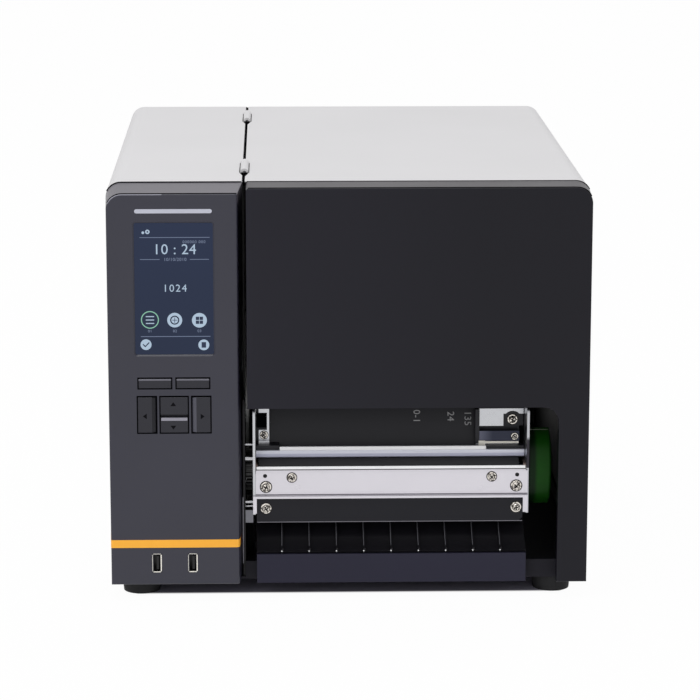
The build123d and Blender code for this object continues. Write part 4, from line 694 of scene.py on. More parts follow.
# A form turned round its own axis: the profile is (radius, height) from the middle of the front to the rim.
def addTurned(shape, profile, matrix, steps):
    old = set(shape.verts)
    verts = [shape.verts.new((radius, 0, height)) for radius, height in profile]
    edges = [shape.edges.new(pair) for pair in zip(verts, verts[1:])]
    bmesh.ops.spin(
        shape, geom=verts + edges, cent=(0, 0, 0), axis=(0, 0, 1), angle=2 * pi, steps=steps, use_merge=True,
    )
    moveNew(shape, old, matrix)


# Numerals as a thin mesh: text stands in the XY plane before the matrix turns and places it.
def addNumerals(shape, text, height, matrix, rise, spacing):
    old = set(shape.verts)
    curve = bpy.data.curves.new("numerals", "FONT")
    curve.body = text
    curve.size = height / 0.7  # a numeral stands 0.7 of the letter size high
    curve.space_character = spacing
    curve.align_x = "CENTER"
    curve.align_y = "CENTER"
    curve.extrude = rise / 2
    curve.resolution_u = 3
    writing = bpy.data.objects.new("numerals", curve)
    bpy.context.scene.collection.objects.link(writing)
    graph = bpy.context.evaluated_depsgraph_get()
    mesh = bpy.data.meshes.new_from_object(writing.evaluated_get(graph))
    shape.from_mesh(mesh)
    bpy.data.objects.remove(writing)
    bpy.data.curves.remove(curve)
    bpy.data.meshes.remove(mesh)
    moveNew(shape, old, matrix)


# A wire along a row of points: a ring square to the path at each, bridged to the next.
def addWire(shape, path, radius, sides=8):
    turn = (path[1] - path[0]).to_track_quat("Z", "X")
    rings = []
    for number, point in enumerate(path):
        heading = path[min(number + 1, len(path) - 1)] - path[max(number - 1, 0)]
        turn = (turn @ Vector((0, 0, 1))).rotation_difference(heading) @ turn
        place = Matrix.Translation(point) @ turn.to_matrix().to_4x4()
        made = bmesh.ops.create_circle(shape, cap_ends=False, segments=sides, radius=radius, matrix=place)
        rings.append(edgesAt(made["verts"]))
    for first, second in zip(rings, rings[1:]):
        bmesh.ops.bridge_loops(shape, edges=first + second)
    for ring in (rings[0], rings[-1]):
        bmesh.ops.contextual_create(shape, geom=ring)


def cutAcross(shape, place, normal):
    whole = shape.verts[:] + shape.edges[:] + shape.faces[:]
    bmesh.ops.bisect_plane(shape, geom=whole, plane_co=place, plane_no=normal)


# Pan-head screws with a washer rim and a cross recess. Their sizes are shares of the seat's radius.
screwSettings = {
    "steps": 28,
    "profile": [  # radius and height
        (0, 0.62), (0.36, 0.61), (0.56, 0.54), (0.68, 0.42), (0.74, 0.26), (0.75, 0.13),
        (0.79, 0.11), (0.97, 0.11), (1.0, 0.08), (1.0, 0.0), (0, 0),
    ],
    "recessWidth": 0.24,
    "recessLength": 0.98,
    "recessDepth": 0.36,
    "recessEdge": 0.05,
    "mergeReach": 0.0005,
    "overrun": 0.3,  # how far the recess's cutter stands over the head
    "floorFree": (0.03, 0.01),  # what the recess's dark floor leaves free at its ends and sides
    "floorRise": 0.12,
    "floorEdge": 0.01,
    "shadowRing": (0.96, 1.16, 0.05),  # inner and outer radius and thickness of the painted shadow ring round the screw's foot
    "turns": [0.5, 1.1, 0.3, 0.8, 0.15, 0.95, 0.6, 0.2, 1.3],
}


def makeScrewHead(settings):
    head, cross = bmesh.new(), bmesh.new()
    addTurned(head, settings["profile"], facing["up"], settings["steps"])
    top = settings["profile"][0][1]
    half, wide = settings["recessLength"] / 2, settings["recessWidth"] / 2
    low, high = (-half, -wide, top - settings["recessDepth"]), (half, wide, top + settings["overrun"])
    for turn in (0, pi / 2):
        addSlab(cross, low, high, settings["recessEdge"], matrix=Matrix.Rotation(turn, 4, "Z"))
    objects = []
    for name, shape in (("head", head), ("cross", cross)):
        mendShape(shape, settings["mergeReach"])
        objects.append(makeObject(name, shape))
    carve = objects[0].modifiers.new("recess", "BOOLEAN")
    carve.operation = "DIFFERENCE"
    carve.solver = "EXACT"
    carve.use_self = True
    carve.object = objects[1]
    graph = bpy.context.evaluated_depsgraph_get()
    carved = bpy.data.meshes.new_from_object(objects[0].evaluated_get(graph))
    for piece in objects:
        bpy.data.objects.remove(piece)
    return carved


screwHead = makeScrewHead(screwSettings)


# A screw head goes to one shape, and its painted shadow ring round the foot and the painted shade on its
# recess floor to another.
def addScrew(shape, place, radius, side, turn, shades):
    settings = screwSettings
    old = set(shape.verts)
    shape.from_mesh(screwHead)
    spun = facing[side] @ Matrix.Rotation(turn, 4, "Z") @ Matrix.Scale(radius, 4)
    matrix = Matrix.Translation(place) @ spun
    moveNew(shape, old, matrix)
    inner, outer, thick = settings["shadowRing"]
    profile = [(inner, 0), (inner, thick), (outer, thick), (outer, 0), (inner, 0)]
    addTurned(shades, profile, matrix, settings["steps"])
    endFree, sideFree = settings["floorFree"]
    half, wide = settings["recessLength"] / 2 - endFree, settings["recessWidth"] / 2 - sideFree
    floor = settings["profile"][0][1] - settings["recessDepth"]
    low, high = (-half, -wide, floor), (half, wide, floor + settings["floorRise"])
    for quarter in (0, pi / 2):
        addSlab(shades, low, high, settings["floorEdge"], matrix=matrix @ Matrix.Rotation(quarter, 4, "Z"))


def makeScrews(name, node, body, finish):
    shape, shades = bmesh.new(), bmesh.new()
    for number, (low, high) in enumerate(solidsOf(node)):
        place = ((low.x + high.x) / 2, high.y, (low.z + high.z) / 2)
        addScrew(shape, place, (high.x - low.x) / 2, "front", screwSettings["turns"][number], shades)
    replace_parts(finishPiece(name, shape, finish, body), node)
    finishPiece(name + "Shade", shades, "shadeBlack", body)


makeScrews("plateScrewHeads", "plate_screws", "chassis", "chrome")
makeScrews("headScrewHeads", "head_screws", "head", "chrome")
print("screws made")


# What the display shows, in millimetres from its middle line and its top edge. The numerals are placeholders.
screenSettings = {
    "bars": [  # finish, left, right, down, thickness
        ("screenPale", -26.9, 28.9, 11.5, 0.5),
        ("screenPale", -26.8, -11.1, 29.3, 0.5),
        ("screenPale", 13.0, 28.2, 29.3, 0.5),
        ("screenPale", -26.9, 28.9, 92.2, 0.55),
        ("screenWhite", -22.8, -16.1, 75.8, 0.8),
        ("screenWhite", -22.8, -16.1, 78.6, 0.8),
        ("screenWhite", -22.8, -16.1, 81.4, 0.8),
    ],
    "numerals": [  # finish, text, middle, down, height, letter spacing
        ("screenDim", "000000 000", 16.4, 15.2, 2.3, 1.18),
        ("screenWhite", "10 : 24", 1.0, 21.5, 8.3, 1.05),
        ("screenDim", "10/10/2010", 1.2, 29.4, 2.6, 1.08),
        ("screenWhite", "1024", 0.8, 53.0, 5.9, 1.2),
        ("screenDim", "01", -19.6, 87.8, 2.2, 1.1),
        ("screenDim", "02", 0.4, 87.8, 2.2, 1.1),
        ("screenDim", "03", 20.1, 87.8, 2.2, 1.1),
    ],
    "rings": [  # finish, middle, down, outer and inner radius
        ("screenGreen", -19.5, 78.5, 7.2, 6.4),
        ("screenWhite", 0.35, 78.8, 6.0, 3.7),
        ("screenWhite", 0.35, 78.8, 2.7, 0.0),
        ("screenWhite", 20.15, 79.0, 6.0, 0.0),
        ("screenWhite", -22.9, 98.8, 4.4, 0.0),
        ("screenWhite", 23.5, 99.2, 4.4, 0.0),
        ("screenWhite", -24.2, 7.6, 1.1, 0.0),
        ("screenWhite", -20.6, 6.9, 1.8, 0.7),
    ],
    "ringSteps": 40,
    "squares": [  # finish, middle, down, half width, half height
        ("screenBlue", 18.6, 77.4, 1.35, 1.35), ("screenBlue", 21.7, 77.4, 1.35, 1.35),
        ("screenBlue", 18.6, 80.6, 1.35, 1.35), ("screenBlue", 21.7, 80.6, 1.35, 1.35),
        ("screenBlue", 23.5, 99.2, 1.8, 2.3), ("screenBlue", 0.35, 78.8, 0.25, 2.1),
        ("screenBlue", 0.35, 78.8, 2.1, 0.25),
    ],
    "tick": [(-25.2, 98.6), (-23.5, 100.4), (-20.5, 97.2)],
    "tickHalf": 0.45,
    "tickOverlap": 0.25,
    "rise": 0.05,
}


def makeScreenPicture(settings):
    low, high = nodeBox("display_lens")
    middle, face, top = (low.x + high.x) / 2, low.y, high.z
    rise = settings["rise"]
    edge = rise / 3
    shapes = {}

    def shapeFor(finish):
        return shapes.setdefault(finish, bmesh.new())

    for finish, left, right, down, thick in settings["bars"]:
        near = (middle + left, face - rise, top - down - thick / 2)
        far = (middle + right, face, top - down + thick / 2)
        addSlab(shapeFor(finish), near, far, edge)
    for finish, text, x, down, height, spacing in settings["numerals"]:
        place = Matrix.Translation((middle + x, face - rise / 2, top - down))
        addNumerals(shapeFor(finish), text, height, place @ facing["front"], rise, spacing)
    for finish, x, down, outer, inner in settings["rings"]:
        rim = [(outer - rise / 2, rise), (outer, rise / 2), (outer, 0), (inner, 0)]
        profile = [(inner, 0), (inner, rise), *rim] if inner else [(0, rise), *rim]
        place = Matrix.Translation((middle + x, face, top - down))
        addTurned(shapeFor(finish), profile, place @ facing["front"], settings["ringSteps"])
    for finish, x, down, halfX, halfZ in settings["squares"]:
        near = (middle + x - halfX, face - rise * 2, top - down - halfZ)
        far = (middle + x + halfX, face - rise * 0.9, top - down + halfZ)
        addSlab(shapeFor(finish), near, far, edge)
    points = [Vector((middle + x, 0, top - down)) for x, down in settings["tick"]]
    for start, end in zip(points, points[1:]):
        turn = Matrix.Rotation(-atan2(end.z - start.z, end.x - start.x), 4, "Y")
        place = Matrix.Translation((start + end) / 2 + Vector((0, face - rise * 1.5, 0)))
        corner = Vector(((end - start).length / 2 + settings["tickOverlap"], rise / 2, settings["tickHalf"]))
        addSlab(shapeFor("screenBlue"), -corner, corner, edge, matrix=place @ turn)
    for finish, shape in shapes.items():
        finishPiece(finish + "Picture", shape, finish, "chassis")


makeScreenPicture(screenSettings)
print("screen picture made")


# Key caps with rounded edges, sloped inner flanks and a lip behind the fascia. The right key's flank carries
# painted highlight and the other flanks painted shade, and the soft keys a painted highlight along their top
# edge.
keySettings = {
    "bodies": {
        "soft_key_left": "left_soft_key", "soft_key_right": "right_soft_key", "nav_key_left": "left_key",
        "nav_key_right": "right_key", "nav_key_up": "up_key", "nav_key_down": "down_key",
    },
    "margin": 1.25,  # from the lip's edge to the cap's edge
    "splitMargin": 0.35,  # the same where the two middle keys meet
    "edge": 0.55,
    "lip": 0.75,
    "lipEdge": 0.1,
    "inset": 0.1,  # from the lip's back to the cap's back
    "touch": 0.01,  # how near the cap's outer edge a point counts as on it
    "flankWidth": 3.4,
    "flankDepth": 1.3,
    "slopes": {  # the axis a flank runs across, its side, its width share and its finish
        "nav_key_left": ("x", 1, 1.0, "keyFlankShade"), "nav_key_right": ("x", -1, 1.0, "keyFlankHighlight"),
        "nav_key_down": ("z", 1, 1.0, "keyFlankShade"), "nav_key_up": ("z", -1, 0.4, "keyFlankShade"),
    },
    "litKeys": ["soft_key_left", "soft_key_right"],
    "litHeight": 1.3,
    "sharpAngle": 1.0,
}


# The sloped flank: the cap is cut across, and what lies outside the cut leans back.
def slopeFlank(shape, low, high, slope, settings):
    axis, side, share = "xyz".index(slope[0]), slope[1], slope[2]
    edge = high[axis] if side > 0 else low[axis]
    normal = Vector((0, 0, 0))
    normal[axis] = 1
    cutAcross(shape, normal * (edge - side * settings["flankWidth"] * share), normal)
    front = [vert for vert in shape.verts if vert.co.y < low.y + settings["inset"]]
    outer = [vert for vert in front if abs(vert.co[axis] - edge) < settings["touch"]]
    bmesh.ops.translate(shape, vec=(0, settings["flankDepth"] * share, 0), verts=outer)
    for face in {face for vert in outer for face in vert.link_faces}:
        if all(vert in front for vert in face.verts):
            face.material_index = 1


def makeKeyCap(node, settings):
    low, high = nodeBox(node)
    margin = settings["margin"]
    capLow = Vector((low.x + margin, low.y, low.z + margin))
    capHigh = Vector((high.x - margin, high.y - settings["inset"], high.z - margin))
    if node == "nav_key_up":
        capLow.z = low.z + settings["splitMargin"]
    if node == "nav_key_down":
        capHigh.z = high.z - settings["splitMargin"]
    shape = bmesh.new()
    size = Matrix.Diagonal((*(capHigh - capLow), 1.0))
    bmesh.ops.create_cube(shape, size=1.0, matrix=Matrix.Translation((capHigh + capLow) / 2) @ size)
    slope = settings["slopes"].get(node)
    if slope:
        slopeFlank(shape, capLow, capHigh, slope, settings)
    if node in settings["litKeys"]:
        level = capHigh.z - settings["litHeight"]
        cutAcross(shape, (0, 0, level), (0, 0, 1))
        for face in shape.faces:
            if face.calc_center_median().z > level:
                face.material_index = 1
    sharp = [line for line in shape.edges if line.calc_face_angle(0) > settings["sharpAngle"]]
    bmesh.ops.bevel(
        shape, geom=sharp, offset=settings["edge"], offset_type="OFFSET", segments=3, profile=0.5,
        affect="EDGES", material=-1, clamp_overlap=True,
    )
    addSlab(shape, (low.x, high.y - settings["lip"], low.z), high, settings["lipEdge"])
    body = settings["bodies"][node]
    piece = finishPiece(dashed(body) + "-cap", shape, "key", body)
    piece.data.materials.append(finishes[slope[3] if slope else "keyLit"])
    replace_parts(piece, node)


for keyNode in keySettings["bodies"]:
    makeKeyCap(keyNode, keySettings)


# Painted shade in the gaps round the keys, as black rings: one ring a key, and one round the two middle keys.
keyGapShadeSettings = {
    "groups": [
        ["soft_key_left"], ["soft_key_right"], ["nav_key_left"], ["nav_key_right"],
        ["nav_key_up", "nav_key_down"],
    ],
    "thick": 0.85,
    "topThick": 1.2,
    "start": 0.1,  # from the cap's edge
    "probe": 2.5,  # how far beside the cap the fascia's face is looked for
    "proud": 0.04,
    "depth": 0.3,
    "edge": 0.02,
}


def makeKeyGapShade(settings):
    shape = bmesh.new()
    thick, high = settings["thick"], settings["topThick"]
    margin = keySettings["margin"] - settings["start"]
    for group in settings["groups"]:
        boxes = [nodeBox(node) for node in group]
        left, right = boxes[0][0].x + margin, boxes[0][1].x - margin
        bottom, top = min(box[0].z for box in boxes) + margin, max(box[1].z for box in boxes) - margin
        face = frontOf("front_fascia", left - settings["probe"], (bottom + top) / 2)
        near, far = face - settings["proud"], face + settings["depth"]
        for low, up in (
            ((left - thick, bottom - thick), (left, top + high)),
            ((right, bottom - thick), (right + thick, top + high)),
            ((left, bottom - thick), (right, bottom)),
            ((left, top), (right, top + high)),
        ):
            addSlab(shape, (low[0], near, low[1]), (up[0], far, up[1]), settings["edge"])
    finishPiece("keyGapShade", shape, "gapBlack", "chassis")


# Dark arrow marks on the four-way keys, and a painted highlight strip on the lower key's slope.
markSettings = {
    "marks": [  # node, x and z from the middle of its box, turn in degrees
        ("nav_key_left", -1.3, -1.0, 90), ("nav_key_right", 0.5, -1.3, -90),
        ("nav_key_up", -0.7, 1.01, 0), ("nav_key_down", -0.8, -1.34, 180),
    ],
    "radius": 2.75,
    "topRadius": 2.625,
    "flatShare": 0.8,
    "rise": 0.05,
    "stripHalfShare": 0.43,
    "stripRise": 0.06,
    "stripStart": 0.25,  # up from the slope's start
    "stripEnd": 0.85,  # down from the slope's end
    "stripDepthShare": 0.75,
    "stripEdge": 0.03,
}


def makeKeyMarks(settings):
    for node, x, z, turn in settings["marks"]:
        shape = bmesh.new()
        bmesh.ops.create_cone(
            shape, cap_ends=True, segments=3, radius1=settings["radius"], radius2=settings["topRadius"],
            depth=settings["rise"] * 2,
        )
        bmesh.ops.scale(shape, vec=(1.0, settings["flatShare"], 1.0), verts=shape.verts[:])
        low, high = nodeBox(node)
        middle = (low + high) / 2
        place = Matrix.Translation((middle.x + x, low.y, middle.z + z)) @ facing["front"]
        turned = place @ Matrix.Rotation(radians(turn), 4, "Z")
        bmesh.ops.transform(shape, matrix=turned, verts=shape.verts[:])
        body = keySettings["bodies"][node]
        finishPiece(dashed(body) + "-mark", shape, "symbol", body)


def makeSlopeHighlight(settings):
    low, high = nodeBox("nav_key_down")
    top = high.z - keySettings["splitMargin"]
    start = Vector((0, low.y, top - keySettings["flankWidth"] + settings["stripStart"]))
    back = low.y + keySettings["flankDepth"] * settings["stripDepthShare"]
    slope = Vector((0, back, top - settings["stripEnd"])) - start
    corner = Vector(((high.x - low.x) * settings["stripHalfShare"], settings["stripRise"], slope.length / 2))
    tilt = Matrix.Rotation(-Vector((0, 0, 1)).angle(slope), 4, "X")
    place = Matrix.Translation(start + slope / 2 + Vector(((low.x + high.x) / 2, 0, 0)))
    shape = bmesh.new()
    addSlab(shape, -corner, corner, settings["stripEdge"], matrix=place @ tilt)
    finishPiece("down-key-slope-highlight", shape, "slopeHighlight", "down_key")


makeKeyGapShade(keyGapShadeSettings)
makeKeyMarks(markSettings)
makeSlopeHighlight(markSettings)
print("keys made")


# Pressed dimples in the front plate and a painted shade disc in each of its two open holes, from the plate's
# low corner.
plateSettings = {
    "dimples": [(36.7, 21.0), (186.9, 19.7)],
    "dimpleRadius": 2.3,
    "dimpleProfile": [(0.7, 0.02), (0.84, 0.16), (1.0, 0.02), (0.7, 0.02)],  # share of the radius, height
    "holes": [(9.9, 30.8), (216.6, 30.8)],
    "holeRadius": 1.68,
    "holeDepth": 5.1,
    "shadeThick": 0.9,
    "steps": (32, 24),  # round a dimple and a hole
}


def makePlateMarks(settings):
    dimples, holes = bmesh.new(), bmesh.new()
    corner = nodeBox("front_plate")[0]
    profile = [(settings["dimpleRadius"] * share, height) for share, height in settings["dimpleProfile"]]
    for x, z in settings["dimples"]:
        face = frontOf("front_plate", corner.x + x, corner.z + z)
        place = Matrix.Translation((corner.x + x, face, corner.z + z))
        addTurned(dimples, profile, place @ facing["front"], settings["steps"][0])
    radius, thick = settings["holeRadius"], settings["shadeThick"]
    profile = [(0, thick), (radius, thick), (radius, 0), (0, 0)]
    for x, z in settings["holes"]:
        place = Matrix.Translation(corner + Vector((x, settings["holeDepth"], z)))
        addTurned(holes, profile, place @ facing["front"], settings["steps"][1])
    finishPiece("plateDimples", dimples, "frontPlate", "chassis")
    finishPiece("plateHoleShade", holes, "shadeBlack", "chassis")


makePlateMarks(plateSettings)
print("front plate dressed")


# Printed numerals on the black hood, read from top to bottom, from the hood's low corner.
hoodSettings = {
    "marks": [("0-1", 132.8, 23.7), ("24", 161.0, 23.5), ("135", 175.1, 21.8)],
    "height": 5.6,
    "spacing": 1.05,
    "lean": 12.3,
    "lift": 0.02,
    "rise": 0.06,
}


def makeHoodNumerals(settings):
    shape = bmesh.new()
    corner = nodeBox("head_frame")[0]
    turn = Matrix.Rotation(-radians(settings["lean"]), 4, "X") @ facing["front"]
    for text, x, z in settings["marks"]:
        face = frontOf("head_frame", corner.x + x, corner.z + z)
        place = Matrix.Translation((corner.x + x, face - settings["lift"], corner.z + z))
        matrix = place @ turn @ Matrix.Rotation(-pi / 2, 4, "Z")
        addNumerals(shape, text, settings["height"], matrix, settings["rise"], settings["spacing"])
    finishPiece("hoodNumerals", shape, "hoodInk", "head")


makeHoodNumerals(hoodSettings)


# Thin strips on the print mechanism: finish, body, the node that carries one, its low and high corner from
# that node's low corner, rounding.
stripSettings = {
    "headTopStrip": ("polishedAndHighlight", "head", "print_head", (19.3, 0.1, 5.9), (189.3, 1.3, 9.1), 0.3),
    # The black strip on top of the head behind its bright strip is painted shade, and the black strip under
    # the tear blade is a painted shadow line.
    "headTopShade": ("shadeBlack", "head", "print_head", (19.3, 1.4, 5.9), (181.4, 2.9, 6.3), 0.1),
    "tearBlade": ("polishedAndHighlight", "chassis", "tear_bar", (0.4, -0.9, 2.3), (220.6, -0.1, 4.7), 0.2),
    "tearBladeShadow": ("shadeBlack", "chassis", "tear_bar", (0.4, -0.6, 1.6), (220.6, -0.1, 2.3), 0.1),
    "bracketStrip": ("navy", "head", "head_brackets", (179.8, 0.1, 5.1), (215.2, 1.1, 13.7), 0.2),
    "bracketEdge": ("cream", "head", "head_brackets", (181.4, -0.9, 3.3), (214.6, -0.1, 5.1), 0.2),
    "bracketStub": ("cream", "head", "head_brackets", (181.4, -1.1, 0.2), (186.9, 0.0, 5.7), 0.2),
    "hoodFlange": ("headFrame", "head", "head_frame", (180.8, 4.8, 3.5), (184.3, 11.6, 32.3), 0.3),
    "wallEdge": ("greyEdge", "chassis", "centre_wall", (19.4, -0.9, 11.0), (20.3, -0.1, 67.0), 0.2),
    "plateLip": ("greyEdge", "chassis", "lower_plate", (0.2, -0.3, 0.1), (218.1, -0.05, 0.7), 0.08),
}


def makeStrips(settings):
    for name, (finish, body, carrier, start, end, edge) in settings.items():
        corner = nodeBox(carrier)[0]
        shape = bmesh.new()
        addSlab(shape, corner + Vector(start), corner + Vector(end), edge, 2)
        finishPiece(name, shape, finish, body)


makeStrips(stripSettings)


# The screw in the right bracket, and painted shade in the left bracket and beside the right one.
bracketSettings = {
    "screw": (211.3, 0.1, 9.0),  # from the brackets' low corner
    "radius": 2.9,
    "turn": 0.7,
    "shades": [  # x, z, x, z from the hood's low corner, and thickness
        (0.2, 16.0, 9.6, 29.5, 0.25),
        (217.7, 0.7, 220.9, 9.1, 0.9),
        (217.7, 9.1, 220.9, 16.7, 0.9),
    ],
    "edge": 0.05,
}


def makeBracketMarks(settings):
    shape, shades = bmesh.new(), bmesh.new()
    place = nodeBox("head_brackets")[0] + Vector(settings["screw"])
    addScrew(shape, place, settings["radius"], "front", settings["turn"], shades)
    corner = nodeBox("head_frame")[0]
    for left, bottom, right, top, thick in settings["shades"]:
        back = frontOf("head_frame", corner.x + (left + right) / 2, corner.z + (bottom + top) / 2)
        low = (corner.x + left, back - thick, corner.z + bottom)
        addSlab(shades, low, (corner.x + right, back, corner.z + top), settings["edge"])
    finishPiece("bracketScrewHead", shape, "chrome", "head")
    finishPiece("bracketShade", shades, "gapBlack", "head")


makeBracketMarks(bracketSettings)
print("print mechanism dressed")


# Painted highlights along the rounded edges of the ribs of the label exit, with a bright nub as a painted
# highlight at the lower end of each. Heights are from the exit's foot.
ribSettings = {
    "count": 9,
    "first": 20.4,  # from the exit's left end to the first edge
    "last": 21.0,  # from the last edge to the exit's right end
    "low": 22.6,
    "high": 46.0,
    "steps": 8,
    "radius": 0.28,
    "wireSides": 6,
    "nub": 0.62,
    "nubHeight": 24.4,
    "nubSteps": 12,
    "nubProfile": [(0, 1), (0.5, 0.87), (0.87, 0.5), (1, 0), (1, -1), (0, -1)],  # shares of the nub's radius
}


def makeRibEdges(settings):
    low, high = nodeBox("exit_chute")
    pitch = (high.x - low.x - settings["first"] - settings["last"]) / (settings["count"] - 1)
    climb = (settings["high"] - settings["low"]) / settings["steps"]
    heights = [low.z + settings["low"] + climb * step for step in range(settings["steps"] + 1)]
    profile = [(settings["nub"] * across, settings["nub"] * up) for across, up in settings["nubProfile"]]
    lines, tipHighlights = bmesh.new(), bmesh.new()
    for number in range(settings["count"]):
        x = low.x + settings["first"] + number * pitch
        path = [Vector((x, frontOf("exit_chute", x, z), z)) for z in heights]
        addWire(lines, path, settings["radius"], settings["wireSides"])
        z = low.z + settings["nubHeight"]
        end = Matrix.Translation((x, frontOf("exit_chute", x, z), z))
        addTurned(tipHighlights, profile, end @ facing["front"], settings["nubSteps"])
    finishPiece("ribEdgeHighlights", lines, "ribHighlight", "chassis")
    finishPiece("ribTipHighlights", tipHighlights, "polishedAndHighlight", "chassis")


makeRibEdges(ribSettings)
print("label exit dressed")


# Painted highlight along the lever's top edge, as a pale rim, from the lever's left and right side.
rimSettings = {"start": 1.0, "end": 1.6, "back": 20.0, "inset": 0.4, "radius": 0.5, "steps": 8}


def makeLeverRim(settings):
    low, high = nodeBox("release_lever")
    start, end = low.x + settings["start"], high.x - settings["end"]
    path = []
    for step in range(settings["steps"] + 1):
        x = start + (end - start) * step / settings["steps"]
        hit = hitOn("release_lever", (x, low.y + settings["back"], 1000), (0, 0, -1)) / mm
        path.append(Vector((x, hit.y, hit.z - settings["inset"])))
    shape = bmesh.new()
    addWire(shape, path, settings["radius"])
    finishPiece("leverRimHighlight", shape, "rimHighlight", "head_lever")


makeLeverRim(rimSettings)


# Spring contacts on the tongues of the two front sockets, and bright lips round their shells, partly the
# shells' bright rim and partly painted highlight where the inner walls catch the light: wide at the right and
# below, slim at the left and on top.
socketSettings = {
    "shellHeight": 12.0,  # a lower solid is a tongue
    "contacts": 4,
    "pitch": 2.4,
    "contactWidth": 1.0,
    "contactLength": 6.0,
    "contactStart": 1.6,
    "contactRise": 0.12,
    "contactRight": 0.9,
    "contactEdge": 0.04,
    "lipWidth": 0.95,
    "lipHeight": 0.8,
    "lipSlim": 0.4,
    "lipRise": 0.1,
    "lipInset": 0.05,
    "lipEdge": 0.05,
    "corner": 0.9,
}


def makeSocketMarks(settings):
    contacts, lipHighlights = bmesh.new(), bmesh.new()
    wide, tall, slim = settings["lipWidth"], settings["lipHeight"], settings["lipSlim"]
    inset, corner, rise = settings["lipInset"], settings["corner"], settings["lipRise"]
    for low, high in solidsOf("front_usb_sockets"):
        if high.z - low.z < settings["shellHeight"]:
            continue
        middle = (low + high) / 2
        x, front = middle.x + settings["contactRight"], low.y + settings["contactStart"]
        for number in range(settings["contacts"]):
            z = middle.z + (number - (settings["contacts"] - 1) / 2) * settings["pitch"]
            start = (x - settings["contactRise"], front, z - settings["contactWidth"] / 2)
            end = (x, front + settings["contactLength"], z + settings["contactWidth"] / 2)
            addSlab(contacts, start, end, settings["contactEdge"])
        left, right, bottom, top = low.x + inset, high.x - inset, low.z + inset, high.z - inset
        for start, end in (
            ((high.x - wide, low.z + corner), (right, high.z - corner)),
            ((low.x + corner, bottom), (high.x - corner, low.z + tall)),
            ((left, low.z + corner), (low.x + slim, high.z - corner)),
            ((low.x + corner, high.z - slim), (high.x - corner, top)),
        ):
            near, far = (start[0], low.y - rise, start[1]), (end[0], low.y + rise, end[1])
            addSlab(lipHighlights, near, far, settings["lipEdge"])
    finishPiece("frontSocketContacts", contacts, "contact", "chassis")
    finishPiece("frontSocketLipHighlights", lipHighlights, "cream", "chassis")


makeSocketMarks(socketSettings)
print("front sockets dressed")


# Painted shade in the seam on top, as black in the gap and along the left cover's edge, and painted shade on
# the edges and front ends of the two hinges.
seamSettings = {
    "shift": -0.05,  # from the middle of the gap between the covers
    "shadeHalf": 0.72,
    "shadeTop": 0.1,  # down from the deck, as the next
    "shadeFoot": 3.6,
    "shadeEdge": 0.1,
    "lipWidth": 0.8,
    "frontEnd": 0.4,  # back from the fascia
    "backEnd": 5.0,  # from the covers' back
    "hingeLength": 54.0,
    "hingeGap": 0.2,
    "grooveOffset": 3.75,
    "grooveHalf": 0.35,
    "grooveEnds": (0.5, 26.0),  # from the hinge's front end
    "noseLength": 9.0,
    "noseHalf": 3.1,
    "noseGap": 0.1,
    "narrowing": 0.95,
    "gapHalf": 0.8,
    "skin": 0.12,
    "skinEdge": 0.03,
}


# The hinge shade is in two halves, and the right one swings with the cover.
def makeSeam(settings):
    left, right = nodeBox("left_cover"), nodeBox("door_cover")
    middle = (left[1].x + right[0].x) / 2 + settings["shift"]
    deck, half, edge = left[1].z, settings["shadeHalf"], settings["skinEdge"]
    top = deck + settings["skin"]
    hinges, gap, length = nodeBox("hinge_leaves"), settings["hingeGap"], settings["hingeLength"]
    fronts = [hinges[0].y, hinges[1].y - length]
    frontEnd, backEnd = nodeBox("front_fascia")[1].y + settings["frontEnd"], left[1].y - settings["backEnd"]
    starts = [frontEnd] + [front + length + gap for front in fronts]
    ends = [front - gap for front in fronts] + [backEnd]
    seamShade = bmesh.new()
    for start, end in zip(starts, ends):
        low, high = deck - settings["shadeFoot"], deck - settings["shadeTop"]
        addSlab(seamShade, (middle - half, start, low), (middle + half, end, high), settings["shadeEdge"])
        lip = middle - half - settings["lipWidth"]
        addSlab(seamShade, (lip, start, deck), (middle - half, end, top), edge)
    finishPiece("seamPaintedShade", seamShade, "gapBlack", "chassis")
    first, last = settings["grooveEnds"]
    nose, thick = settings["noseLength"], settings["grooveHalf"]
    for side, body in ((-1, "chassis"), (1, "media_cover")):
        shape = bmesh.new()
        groove, near = middle + side * settings["grooveOffset"], middle + side * settings["gapHalf"]
        inner, outer = sorted((near, middle + side * settings["noseHalf"]))
        for front in fronts:
            addSlab(shape, (groove - thick, front + first, deck), (groove + thick, front + last, top), edge)
            old = set(shape.verts)
            addSlab(shape, (inner, front - nose, deck), (outer, front - settings["noseGap"], top), edge)
            for vert in set(shape.verts) - old:
                share = max(0.0, (front - vert.co.y) / nose) * settings["narrowing"]
                vert.co.x += (near - vert.co.x) * share
        finishPiece(dashed(body) + "-hinge-shade", shape, "gapBlack", body)


makeSeam(seamSettings)
print("top seam dressed")


# Painted shade lines round the two front mouldings, at their joint to the covers and along their rounded
# front edge, and a painted highlight on the fascia's top left edge.
jointSettings = {
    "corner": 12.5,
    "cornerSteps": 8,
    "cornerSweep": 1.12,  # how far round the corner a line runs, in radians
    "inset": 0.3,
    "start": 0.6,  # from the inner end
    "mouldings": {  # body, outer side, how far the inner end, outer end and top draw in towards the front
        "front_fascia": ("chassis", -1, (3.8, 2.0, 4.4)),
        "door_front": ("media_cover", 1, (1.2, 2.3, 0.0)),
    },
    "lines": {  # distance from the front and radius
        "front_fascia": [(35.8, 1.1), (2.3, 0.85)],
        "door_front": [(37.1, 0.7), (2.3, 0.85)],
    },
    "edgeLine": (0.4, 0.4),  # the same for the lit edge
    "edgeLength": 46.5,
}


